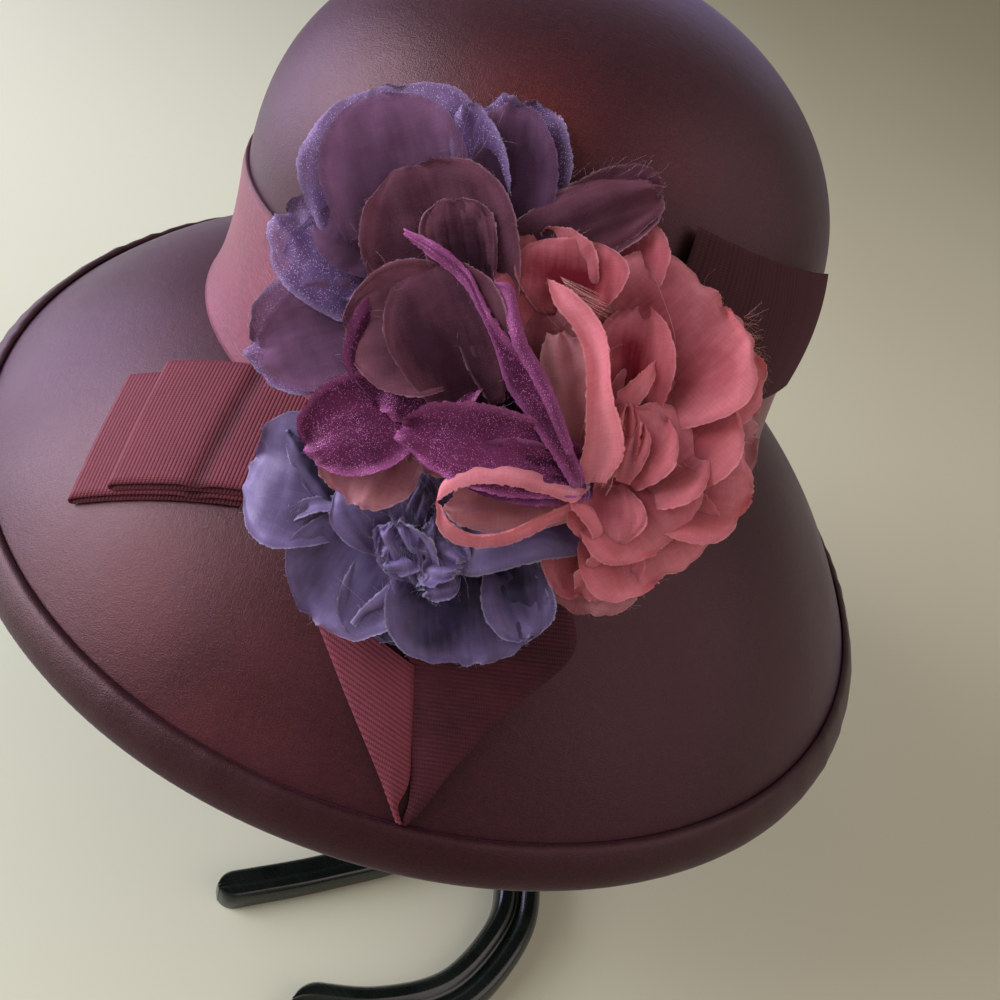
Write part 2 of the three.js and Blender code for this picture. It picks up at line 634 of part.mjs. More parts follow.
function standRestGeometry() {
  const top = crownRestHeight();
  const edge = top - STAND.topRise;
  const radius = STAND.topRadius;
  const under = edge - STAND.topEdge;
  const profile = [[0, under], [radius - 3, under], [radius, edge - 2], [radius - 1, edge]];
  for (let i = 1; i <= 4; i += 1) {
    const share = 1 - i / 4;
    profile.push([(radius - 1) * share, top - STAND.topRise * share * share]);
  }
  const rest = new THREE.LatheGeometry(profile.map(([x, y]) => new THREE.Vector2(x, y)), 24);
  rest.rotateX(Math.PI / 2);
  return rest;
}

// Finishes
const FINISH = {
  satin: { color: 0x3a2130, roughness: 0.5, metalness: 0 },
  bandSatin: { color: 0x6d3f4d, roughness: 0.45, metalness: 0 },
  ribbon: { color: 0x5a2c38, roughness: 0.8, metalness: 0 },
  purple: { color: 0x5d3a70, roughness: 0.5, metalness: 0 },
  pink: { color: 0xd66f74, roughness: 0.7, metalness: 0 },
  blue: { color: 0x4a4480, roughness: 0.45, metalness: 0 },
  stand: { color: 0x0c1210, roughness: 0.3, metalness: 0 },
};

const hat = new THREE.Group();

function addPiece(name, geometry, finish) {
  const clean = geometry.getIndex() ? geometry.toNonIndexed() : geometry;
  clean.computeVertexNormals();
  const mesh = new THREE.Mesh(clean, new THREE.MeshStandardMaterial(FINISH[finish]));
  mesh.name = name;
  hat.add(mesh);
}

addPiece('crown', crownGeometry(), 'satin');
addPiece('brim', brimGeometry(), 'satin');
addPiece('brim_binding', bindingGeometry(), 'satin');
addPiece('hat_band', bandGeometry(), 'bandSatin');

// Ribbon trim, cut back from the crown and its band
const body = bodySpace(SEAT_GAP);
const frontPointSurface = (s, t) => foldedPoint(FRONT_POINT, brimHeight, s, t);
const ribbonPieces = [
  ...SIDE_LOOPS.map((loop) => ({ name: loop.name, geometry: sideLoopGeometry(loop) })),
  { name: 'front_point', geometry: sheet(frontPointSurface, 7, 12, RIBBON.wall) },
  { name: 'crown_point', geometry: sheet(crownPointSurface, 7, 6, RIBBON.wall) },
];
const ribbonSolids = ribbonPieces.map(({ name, geometry }) => ({
  name, solid: largest(toSolid(geometry).subtract(body)),
}));
ribbonSolids.forEach(({ name, solid }) => addPiece(name, toGeometry(solid), 'ribbon'));

// Flowers, each cut back from the hat, the ribbon and the flower in front of it
const ribbonSpace = fuse([
  ...SIDE_LOOPS.map(sideLoopSpace),
  sheet(frontPointSurface, 7, 12, RIBBON.wall + 2 * SEAT_GAP),
  sheet(crownPointSurface, 7, 6, RIBBON.wall + 2 * SEAT_GAP),
]);
let taken = body.add(ribbonSpace);
for (const flower of [PURPLE, PINK, BLUE]) {
  const solid = largest(flowerSolid(flower, 0).subtract(taken));
  addPiece(flower.name, toGeometry(solid), flower.finish);
  taken = taken.add(flowerSolid(flower, SEAT_GAP + 0.05));
}

addPiece('stand_base', standBaseGeometry(), 'stand');
addPiece('stand_post', standPostGeometry(), 'stand');
addPiece('stand_rest', standRestGeometry(), 'stand');

export default hat;
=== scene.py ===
"""Church hat trimmed with ribbed ribbon and three cloth flowers, on a plain stand.

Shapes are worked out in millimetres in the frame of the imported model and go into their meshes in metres.
The flowers are laid out in their own frame, whose face is square to the line of sight, so their places
are given in thousandths of the picture and a height w over that face in millimetres.
"""

from __future__ import annotations

import logging
import math
from dataclasses import dataclass, field
from enum import Enum
from typing import Callable

import bmesh
import bpy
import numpy as np
from mathutils import Matrix, Vector


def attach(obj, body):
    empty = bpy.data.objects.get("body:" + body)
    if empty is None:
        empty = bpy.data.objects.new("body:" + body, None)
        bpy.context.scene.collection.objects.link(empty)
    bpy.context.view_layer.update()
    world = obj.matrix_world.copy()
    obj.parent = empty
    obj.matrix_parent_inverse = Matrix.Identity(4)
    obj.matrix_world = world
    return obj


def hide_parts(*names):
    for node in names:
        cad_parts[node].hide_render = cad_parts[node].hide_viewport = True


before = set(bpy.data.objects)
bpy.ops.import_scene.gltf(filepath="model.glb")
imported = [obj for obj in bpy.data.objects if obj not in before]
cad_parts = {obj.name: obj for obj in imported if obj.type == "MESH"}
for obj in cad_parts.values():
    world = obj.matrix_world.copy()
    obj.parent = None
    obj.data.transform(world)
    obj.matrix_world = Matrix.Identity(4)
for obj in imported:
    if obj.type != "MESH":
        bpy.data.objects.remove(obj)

Array = np.ndarray
Socket = bpy.types.NodeSocket
Thing = bpy.types.Object
MM = 0.001
log = logging.getLogger("hat")


def srgb(red: float, green: float, blue: float) -> tuple[float, float, float, float]:
    """A colour given as 0 to 255 on screen, as the linear colour that a shader takes."""
    shown = (red, green, blue)
    linear = [(c / 255 / 12.92) if c <= 10 else ((c / 255 + 0.055) / 1.055) ** 2.4 for c in shown]
    return (*linear, 1.0)


def unit(v: Array) -> Array:
    """Vectors divided by their lengths."""
    return v / np.maximum(np.linalg.norm(v, axis=-1, keepdims=True), 1e-9)


def lerp(a: Array | float, b: Array | float, share: Array | float) -> Array:
    """The point at a share of the way from a to b."""
    return a + (b - a) * share


def ease(x: Array, low: float, high: float) -> Array:
    """A smooth step from 0 at low to 1 at high: 3q^2 - 2q^3."""
    q = np.clip((x - low) / (high - low), 0, 1)
    return q * q * (3 - 2 * q)


def ripple(seed: int, places: Array, length: float) -> Array:
    """Soft irregular relief between about -1 and 1, the mean of six sine waves in seeded directions.

    Args:
        seed: picks the directions and phases.
        places: points in millimetres, any number of axes in the last dimension.
        length: the usual wave length in millimetres.

    Returns:
        One value for each point.
    """
    rng = np.random.default_rng(seed)
    total = np.zeros(places.shape[:-1])
    for _ in range(6):
        direction = unit(rng.normal(size=places.shape[-1]))
        stretch = length * rng.uniform(0.6, 1.7)
        total += np.sin(2 * np.pi * (places @ direction) / stretch + rng.uniform(0, 2 * np.pi))
    return total / 3


def curve_through(knots: Array, shares: Array) -> Array:
    """A smooth curve through knots by the Catmull-Rom rule, read at shares of its length in knots.

    Args:
        knots: (K, n) values at the knots.
        shares: (M,) places along the curve.

    Returns:
        (M, n) values.
    """
    padded = np.vstack([2 * knots[0] - knots[1], knots, 2 * knots[-1] - knots[-2]])
    place = np.clip(shares, 0, 1) * (len(knots) - 1)
    row = np.minimum(place.astype(int), len(knots) - 2)
    q = (place - row)[:, None]
    a, b, c, d = (padded[row + k] for k in range(4))
    return 0.5 * (2 * b + (c - a) * q + (2 * a - 5 * b + 4 * c - d) * q**2 + (3 * b - 3 * c + d - a) * q**3)


# Meshes


@dataclass
class Surface:
    """A grid of points, with the cloth's own coordinates and values that its finish reads.

    Args:
        points: (rows, columns, 3) in millimetres.
        cloth: (rows, columns, 2) in millimetres, one column more where the grid wraps.
        wrap: the last column joins the first.
        caps: which end rows are closed with a fan, of "start" and "end".
        tags: values by name, each (rows, columns).
    """

    points: Array
    cloth: Array
    wrap: bool = False
    caps: tuple[str, ...] = ()
    tags: dict[str, Array] = field(default_factory=dict)

    def normals(self) -> Array:
        """Unit normals from the grid's own differences."""
        if self.wrap:
            across = np.roll(self.points, -1, 1) - np.roll(self.points, 1, 1)
        else:
            across = np.gradient(self.points, axis=1)
        return unit(np.cross(np.gradient(self.points, axis=0), across))

    def lifted(self, height: Array) -> "Surface":
        """The same surface moved along its normals by a height at each point."""
        points = self.points + self.normals() * height[..., None]
        return Surface(points, self.cloth, self.wrap, self.caps, self.tags)


def build_mesh(name: str, surfaces: list[Surface]) -> Thing:
    """One object from several surfaces, each a grid of four-sided faces with optional end fans.

    Args:
        name: the object's name.
        surfaces: the grids to join.

    Returns:
        The new object, smooth shaded, with a UV map called cloth in metres.
    """
    tag_names = sorted({tag for s in surfaces for tag in s.tags})
    points, tags = [], {tag: [] for tag in tag_names}
    corners, corner_uv, sizes = [], [], []
    offset = 0
    for s in surfaces:
        rows, cols = s.points.shape[:2]
        i, j = np.meshgrid(np.arange(rows - 1), np.arange(cols if s.wrap else cols - 1), indexing="ij")
        k = (j + 1) % cols
        quads = np.stack([i * cols + j, i * cols + k, (i + 1) * cols + k, (i + 1) * cols + j], -1)
        uv = s.cloth
        quad_uv = np.stack([uv[i, j], uv[i, j + 1], uv[i + 1, j + 1], uv[i + 1, j]], -2)
        corners.append(quads.reshape(-1) + offset)
        corner_uv.append(quad_uv.reshape(-1, 2))
        sizes.append(np.full(quads.shape[0] * quads.shape[1], 4))
        flat = s.points.reshape(-1, 3)
        extra = []
        for end in s.caps:
            row = 0 if end == "start" else rows - 1
            hub = rows * cols + len(extra)
            extra.append(s.points[row].mean(0))
            one = np.arange(cols)
            two = (one + 1) % cols
            if end == "start":
                one, two = two, one
            fan = np.stack([row * cols + one, row * cols + two, np.full(cols, hub)], -1)
            corners.append(fan.ravel() + offset)
            centre = np.broadcast_to(uv[row].mean(0), (cols, 2))
            corner_uv.append(np.stack([uv[row][one], uv[row][two], centre], 1).reshape(-1, 2))
            sizes.append(np.full(cols, 3))
        points.append(np.vstack([flat, *extra]) if extra else flat)
        for tag in tag_names:
            value = s.tags.get(tag, np.zeros((rows, cols))).reshape(-1)
            tags[tag].append(np.concatenate([value, np.full(len(extra), value.mean())]))
        offset += len(points[-1])
    return mesh_object(name, np.vstack(points), np.concatenate(corners), np.concatenate(sizes),
                       np.vstack(corner_uv), {tag: np.concatenate(v) for tag, v in tags.items()})


def mesh_object(name: str, points: Array, corners: Array, sizes: Array, uv: Array,
                tags: dict[str, Array]) -> Thing:
    """An object from flat arrays.

    Args:
        name: the object's name.
        points: (N, 3) in millimetres.
        corners: the faces' point numbers, one after another.
        sizes: how many corners each face has.
        uv: (corners, 2) in millimetres.
        tags: values by name, one a point.

    Returns:
        The object, linked to the scene.
    """
    mesh = bpy.data.meshes.new(name)
    mesh.vertices.add(len(points))
    mesh.vertices.foreach_set("co", (points * MM).astype(np.float32).ravel())
    mesh.loops.add(len(corners))
    mesh.loops.foreach_set("vertex_index", corners.astype(np.int32))
    mesh.polygons.add(len(sizes))
    mesh.polygons.foreach_set("loop_start", np.concatenate([[0], np.cumsum(sizes)[:-1]]).astype(np.int32))
    mesh.polygons.foreach_set("use_smooth", np.ones(len(sizes), bool))
    mesh.uv_layers.new(name="cloth").data.foreach_set("uv", (uv * MM).astype(np.float32).ravel())
    for tag, value in tags.items():
        mesh.attributes.new(tag, "FLOAT", "POINT").data.foreach_set("value", value.astype(np.float32))
    mesh.update(calc_edges=True)
    obj = bpy.data.objects.new(name, mesh)
    bpy.context.scene.collection.objects.link(obj)
    return obj


def strand_mesh(name: str, lines: Array, radius: Array) -> Thing:
    """Many thin threads as one mesh, each a three-sided tube along its line.

    Args:
        name: the object's name.
        lines: (N, K, 3) points along each thread in millimetres.
        radius: (N,) each thread's radius.

    Returns:
        The object.
    """
    count, steps = lines.shape[:2]
    along = unit(np.gradient(lines, axis=1))
    helper = np.where(np.abs(along[..., 2:]) < 0.9, np.array([0.0, 0, 1]), np.array([1.0, 0, 0]))
    side = unit(np.cross(along, helper))
    other = np.cross(along, side)
    taper = np.linspace(1, 0.45, steps)[None, :, None, None] * radius[:, None, None, None]
    angle = np.arange(3) * 2 * np.pi / 3
    ring = side[:, :, None] * np.cos(angle)[:, None] + other[:, :, None] * np.sin(angle)[:, None]
    points = (lines[:, :, None] + ring * taper).reshape(-1, 3)
    n, k, m = np.meshgrid(np.arange(count), np.arange(steps - 1), np.arange(3), indexing="ij")
    at = lambda row, col: (n * steps + row) * 3 + col % 3
    quads = np.stack([at(k, m), at(k, m + 1), at(k + 1, m + 1), at(k + 1, m)], -1).reshape(-1, 4)
    first = np.arange(count) * steps * 3
    last = first + (steps - 1) * 3
    ends = np.vstack([np.stack([first + 2, first + 1, first], -1), np.stack([last, last + 1, last + 2], -1)])
    corners = np.concatenate([quads.ravel(), ends.ravel()])
    sizes = np.concatenate([np.full(len(quads), 4), np.full(len(ends), 3)])
    share = np.broadcast_to(np.linspace(0, 1, steps)[None, :, None], (count, steps, 3)).reshape(-1)
    return mesh_object(name, points, corners, sizes, np.zeros((len(corners), 2)), {"share": share})


def thicken(obj: Thing, wall: float, offset: float = 0.0) -> None:
    """Gives a sheet its wall in millimetres, with offset -1 on the inner side, 0 on both and 1 outside."""
    solid = obj.modifiers.new("wall", "SOLIDIFY")
    solid.thickness = wall * MM
    solid.offset = offset
    solid.use_even_offset = False


# Shader trees


class Tree:
    """A node tree with short calls that add and join its nodes."""

    def __init__(self, tree: bpy.types.NodeTree) -> None:
        """Keeps the tree that the calls write to."""
        self.tree = tree

    def add(self, kind: str, inputs: dict | None = None, **settings: object) -> bpy.types.Node:
        """A node of one kind.

        Args:
            kind: the node's type without ShaderNode.
            inputs: values or sockets by the input's name or number.
            settings: properties of the node.

        Returns:
            The node.
        """
        node = self.tree.nodes.new("ShaderNode" + kind)
        for key, value in settings.items():
            setattr(node, key, value)
        return self.fill(node, inputs or {})

    def fill(self, node: bpy.types.Node, inputs: dict) -> bpy.types.Node:
        """Gives a node's inputs, by name or number, their values or the sockets that feed them."""
        for key, value in inputs.items():
            if isinstance(value, Socket):
                self.tree.links.new(value, node.inputs[key])
            else:
                node.inputs[key].default_value = value
        return node

    def math(self, operation: str, a: object, b: object = 0.0) -> Socket:
        """One operation on one or two values."""
        return self.add("Math", {0: a, 1: b}, operation=operation).outputs[0]

    def plus(self, a: object, b: object) -> Socket:
        """The sum of two values."""
        return self.math("ADD", a, b)

    def minus(self, a: object, b: object) -> Socket:
        """The first value less the second."""
        return self.math("SUBTRACT", a, b)

    def times(self, a: object, b: object) -> Socket:
        """The product of two values."""
        return self.math("MULTIPLY", a, b)

    def mix(self, share: object, a: object, b: object, **settings: object) -> Socket:
        """Two colours mixed by a share."""
        return self.add("Mix", {0: share, 6: a, 7: b}, data_type="RGBA", **settings).outputs[2]

    def remap(self, value: object, low: float, high: float, to_low: float = 0.0,
              to_high: float = 1.0) -> Socket:
        """A value carried from one range to another and kept inside it."""
        inputs = {"Value": value, "From Min": low, "From Max": high, "To Min": to_low, "To Max": to_high}
        return self.add("MapRange", inputs).outputs[0]

    def scaled(self, vector: object, x: float, y: float, z: float, turn: float = 0.0) -> Socket:
        """A vector turned in its plane by degrees and scaled along its axes."""
        turned = self.add("Mapping", {"Vector": vector, "Rotation": (0, 0, math.radians(turn))}).outputs[0]
        return self.add("Mapping", {"Vector": turned, "Scale": (x, y, z)}).outputs[0]

    def noise(self, vector: object, scale: float, detail: float = 2.0, rough: float = 0.5) -> Socket:
        """Noise between 0 and 1."""
        inputs = {"Vector": vector, "Scale": scale, "Detail": detail, "Roughness": rough}
        return self.add("TexNoise", inputs).outputs[0]

    def tag(self, name: str) -> Socket:
        """A value that the mesh carries at its points."""
        return self.add("Attribute", attribute_name=name).outputs["Fac"]

    def place(self) -> Socket:
        """Places in the piece's own frame, in metres."""
        return self.add("TexCoord").outputs["Object"]

    def cloth(self) -> Socket:
        """Places on the flat cloth, across and along it, in metres."""
        return self.add("UVMap", uv_map="cloth").outputs[0]

    def bump(self, strength: float, distance: float, height: Socket, **others: Socket) -> Socket:
        """A surface normal tilted by a height, over the normal given as Normal."""
        inputs = {"Strength": strength, "Distance": distance, "Height": height, **others}
        return self.add("Bump", inputs).outputs[0]

    def group(self, tree: bpy.types.NodeTree, inputs: dict) -> bpy.types.Node:
        """A node group placed in this tree with its own values."""
        return self.fill(self.add("Group", node_tree=tree), inputs)


def shared_group(name: str, inputs: dict[str, str], outputs: dict[str, str],
                 fill: Callable[[Tree, dict], dict]) -> bpy.types.NodeTree:
    """A node group with named inputs and outputs.

    Args:
        name: the group's name.
        inputs: socket kinds by name, of Float, Vector and Color.
        outputs: the same for what it puts out.
        fill: builds the inside from the input sockets and returns the output sockets by name.

    Returns:
        The group.
    """
    tree = bpy.data.node_groups.new(name, "ShaderNodeTree")
    for label, kind in inputs.items():
        tree.interface.new_socket(label, in_out="INPUT", socket_type="NodeSocket" + kind)
    for label, kind in outputs.items():
        tree.interface.new_socket(label, in_out="OUTPUT", socket_type="NodeSocket" + kind)
    way_in = tree.nodes.new("NodeGroupInput")
    way_out = tree.nodes.new("NodeGroupOutput")
    made = fill(Tree(tree), {label: way_in.outputs[label] for label in inputs})
    for label, socket in made.items():
        tree.links.new(socket, way_out.inputs[label])
    return tree


def fill_weave(t: Tree, given: dict) -> dict:
    """Fine weave: noise at the thread count for height, and slubs drawn out along both threads."""
    vector = t.add("VectorMath", {0: given["Vector"], "Scale": given["Threads"]}, operation="SCALE")
    cross = t.noise(vector.outputs[0], 1.0, 1, 0.5)
    slub = t.noise(t.scaled(given["Vector"], 1, 9, 9), 260, 3, 0.6)
    streak = t.noise(t.scaled(given["Vector"], 9, 1, 1), 330, 2, 0.6)
    tone = t.plus(t.times(slub, 0.6), t.times(streak, 0.4))
    height = t.plus(t.times(cross, 0.8), t.times(tone, given["Slub"]))
    return {"Height": height, "Tone": tone}


def fill_sparkle(t: Tree, given: dict) -> dict:
    """Glints: cells of a Voronoi pattern whose random value passes 1 - amount, each a small round spot."""
    cells = t.add("TexVoronoi", {"Vector": given["Vector"], "Scale": given["Scale"]}, feature="F1")
    chance = t.add("SeparateColor", {0: cells.outputs["Color"]}).outputs[0]
    lit = t.math("GREATER_THAN", chance, t.minus(1.0, given["Amount"]))
    spot = t.math("LESS_THAN", cells.outputs["Distance"], 0.34)
    return {"Mask": t.times(lit, spot)}


def fill_mottle(t: Tree, given: dict) -> dict:
    """Uneven tone: wide noise sharpened about its middle."""
    wide = t.add("TexNoise", {"Vector": given["Vector"], "Scale": given["Scale"], "Detail": 3.0}).outputs[0]
    return {"Value": t.remap(wide, 0.3, 0.7)}


class Groups:
    """The node groups that several finishes share."""

    def __init__(self) -> None:
        """Builds each group once."""
        self.weave = shared_group("weave", {"Vector": "Vector", "Threads": "Float", "Slub": "Float"},
                                  {"Height": "Float", "Tone": "Float"}, fill_weave)
        self.sparkle = shared_group("sparkle", {"Vector": "Vector", "Scale": "Float", "Amount": "Float"},
                                    {"Mask": "Float"}, fill_sparkle)
        self.mottle = shared_group("mottle", {"Vector": "Vector", "Scale": "Float"},
                                   {"Value": "Float"}, fill_mottle)

    def woven(self, t: Tree, vector: Socket, threads: float, slub: float) -> tuple[Socket, Socket]:
        """Height and tone of a weave with this many threads to the metre."""
        node = t.group(self.weave, {"Vector": vector, "Threads": threads, "Slub": slub})
        return node.outputs["Height"], node.outputs["Tone"]

    def uneven(self, t: Tree, vector: Socket, scale: float) -> Socket:
        """Uneven tone at a scale."""
        return t.group(self.mottle, {"Vector": vector, "Scale": scale}).outputs[0]


def new_material(name: str) -> tuple[bpy.types.Material, Tree, bpy.types.Node]:
    """A material with a Principled shader, ready to fill."""
    material = bpy.data.materials.new(name)
    material.use_nodes = True
    tree = Tree(material.node_tree)
    return material, tree, material.node_tree.nodes["Principled BSDF"]


Colour = tuple[float, float, float]


class Finish:
    """A finish that becomes a material."""

    def look(self, t: Tree, groups: Groups) -> dict:
        """The shader's inputs by name."""
        raise NotImplementedError

    def make(self, name: str, groups: Groups) -> bpy.types.Material:
        """Builds the material."""
        material, t, shader = new_material(name)
        t.fill(shader, self.look(t, groups))
        return material


@dataclass(frozen=True)
class SatinFinish(Finish):
    """Shot satin: a dark ground, a second thread colour, painted copper glints and a pale sheen.

    Args:
        ground, thread, glint, sheen: colours as on screen.
        sheen_weight: how much pale sheen it has.
        rough: the usual roughness.
        painted_highlights: spots of painted highlight, where copper glints are painted brightest into the
            colour, with their middle and reach in metres, and strength.
        turn: the weave's turn in degrees.
    """

    ground: Colour
    thread: Colour
    glint: Colour = (190, 84, 72)
    sheen: Colour = (170, 155, 225)
    sheen_weight: float = 0.42
    rough: float = 0.4
    painted_highlights: tuple[tuple[float, float, float, float, float], ...] = ()
    turn: float = 0.0

    def look(self, t: Tree, groups: Groups) -> dict:
        """The shader's inputs by name."""
        place = t.place()
        turned = t.scaled(place, 1, 1, 1, self.turn)
        weave, slub = groups.woven(t, turned, 3200.0, 1.3)
        mottle = groups.uneven(t, place, 26.0)
        fine = t.noise(t.scaled(turned, 1, 1, 2.6), 4000, 2, 0.7)
        tone = t.remap(slub, 0.35, 0.65)
        colour = t.mix(t.times(tone, 0.9), srgb(*self.ground), srgb(*self.thread))
        colour = t.mix(t.times(mottle, 0.25), colour, srgb(*[c * 1.2 for c in self.thread]))
        # painted shadow: the colour is darkened where the mesh's edge line tag is set, along the band's
        # turned-in top edge
        colour = t.mix(t.tag("seam"), colour, srgb(*[c * 0.35 for c in self.ground]))
        # painted highlights: fine copper glints, brighter still around the listed spots, are painted into the
        # colour in place of reflections of the light
        painted_glint = t.times(t.remap(fine, 0.55, 0.7), 0.18)
        for *middle, reach, strength in self.painted_highlights:
            away = t.add("VectorMath", {0: place, 1: tuple(middle)}, operation="DISTANCE").outputs["Value"]
            near = t.remap(away, reach * 0.2, reach, 1.0, 0.0)
            lit = t.times(t.times(near, near), t.remap(fine, 0.46, 0.62, 0.2, 1.0))
            lit = t.times(lit, t.remap(mottle, 0.0, 0.8, strength * 0.4, strength))
            painted_glint = t.plus(painted_glint, lit)
        colour = t.mix(painted_glint, colour, srgb(*self.glint))
        rough = t.plus(self.rough - 0.05, t.times(mottle, 0.1))
        rough = t.minus(rough, t.times(painted_glint, 0.12))
        wrinkle = t.noise(t.scaled(place, 1, 1, 1.5), 240, 3, 0.6)
        folds = t.bump(0.2, 0.0005, wrinkle)
        return {"Base Color": colour, "Roughness": rough,
                "Normal": t.bump(0.45, 0.0002, weave, Normal=folds),
                "Sheen Weight": self.sheen_weight, "Sheen Roughness": 0.35,
                "Sheen Tint": srgb(*self.sheen), "Specular Tint": srgb(235, 185, 200),
                "Specular IOR Level": 0.5}


@dataclass(frozen=True)
class RibbedFinish(Finish):
    """Ribbed ribbon: ridges painted lit and grooves painted in shade, read from the mesh's own rib values.

    Args:
        ridge, groove: colours as on screen, with painted light on the ridges and painted shade in the
            grooves.
        rough: the roughness.
        sheen: how much soft sheen it has.
        bead: length of one thread's bead along a rib, in metres.
    """

    ridge: Colour
    groove: Colour
    rough: float = 0.62
    sheen: float = 0.16
    bead: float = 0.0006

    def look(self, t: Tree, groups: Groups) -> dict:
        """The shader's inputs by name."""
        cloth = t.cloth()
        place = t.place()
        weave, slub = groups.woven(t, cloth, 2100.0, 0.6)
        mottle = groups.uneven(t, place, 60.0)
        run = t.add("SeparateXYZ", {0: cloth}).outputs[0]
        bead = t.math("SINE", t.times(run, 2 * math.pi / self.bead))
        rib = t.plus(t.tag("rib"), t.times(t.minus(slub, 0.5), 0.8))
        rib = t.plus(rib, t.times(bead, 0.06))
        # painted light and shade: the rib value paints the ridges lit and the grooves dark
        colour = t.mix(t.remap(rib, 0.2, 1.1), srgb(*self.groove), srgb(*self.ridge))
        colour = t.mix(t.times(mottle, 0.15), colour, srgb(*[c * 1.15 for c in self.ridge]))
        height = t.plus(weave, t.times(bead, 0.3))
        return {"Base Color": colour, "Normal": t.bump(0.5, 0.0002, height), "Roughness": self.rough,
                "Sheen Weight": self.sheen, "Sheen Tint": srgb(205, 130, 185),
                "Specular IOR Level": 0.3, "Specular Tint": srgb(235, 180, 198)}


@dataclass(frozen=True)
class OrganzaFinish(Finish):
    """Sheer organza: a fine open weave whose glitter is painted into its colour as glints, clearer between
    its threads.

    Args:
        dark, light, glint: colours as on screen, in shade, in light and at the glints.
        cover: how much of what is behind it the cloth hides, from 0 to 1.
        glint_amount: share of the cells that glitter.
        rough: roughness between the glints.
    """

    dark: Colour
    light: Colour
    glint: Colour
    cover: float
    glint_amount: float
    rough: float = 0.36

    def look(self, t: Tree, groups: Groups) -> dict:
        """The shader's inputs by name."""
        cloth = t.cloth()
        place = t.place()
        weave, slub = groups.woven(t, cloth, 2400.0, 1.0)
        mottle = groups.uneven(t, place, 90.0)
        patch = groups.uneven(t, place, 150.0)
        # painted glints: the share of cells painted as bright glint specks, more of them on petals with a
        # paler tone
        amount = t.plus(t.math("POWER", patch, 2.0), t.times(t.tag("tone"), 0.15))
        amount = t.times(amount, self.glint_amount)
        amount = t.plus(amount, 0.12 * self.glint_amount)
        grain = t.remap(t.noise(cloth, 3000, 2, 0.7), 0.35, 0.65, -0.28, 0.28)
        cells = {"Vector": t.scaled(cloth, 1, 0.6, 1), "Scale": 5600.0, "Amount": amount}
        painted_glint = t.group(groups.sparkle, cells).outputs[0]
        rim = t.remap(t.tag("rim"), 0.0, 2.5, 1.0, 0.0)
        wisp = t.noise(t.scaled(cloth, 1, 0.3, 1), 1500, 3, 0.6)
        # the tone tag carries painted light and shade as well as the cloth's own tone
        tone = t.plus(t.times(mottle, 0.35), t.times(t.tag("tone"), 0.65))
        tone = t.plus(tone, grain)
        colour = t.mix(tone, srgb(*self.dark), srgb(*self.light))
        # painted highlight: the rim is painted towards the glint colour
        colour = t.mix(t.times(rim, 0.3), colour, srgb(*self.glint))
        colour = t.mix(painted_glint, colour, srgb(*self.glint))
        open_weave = t.remap(slub, 0.3, 0.7, -0.16, 0.16)
        alpha = t.plus(t.plus(open_weave, self.cover), t.times(rim, 0.2))
        alpha = t.math("MAXIMUM", alpha, painted_glint)
        kept = t.math("GREATER_THAN", t.plus(t.tag("rim"), t.times(wisp, -1.6)), -0.62)
        alpha = t.times(alpha, kept)
        rough = t.minus(self.rough, t.times(painted_glint, 0.15))
        return {"Base Color": colour, "Alpha": t.math("MINIMUM", alpha, 1.0), "Roughness": rough,
                "Normal": t.bump(0.6, 0.0003, weave), "Sheen Weight": 0.12,
                "Sheen Roughness": 0.3, "Sheen Tint": srgb(*self.glint), "Specular IOR Level": 0.4,
                "Specular Tint": srgb(*self.glint)}


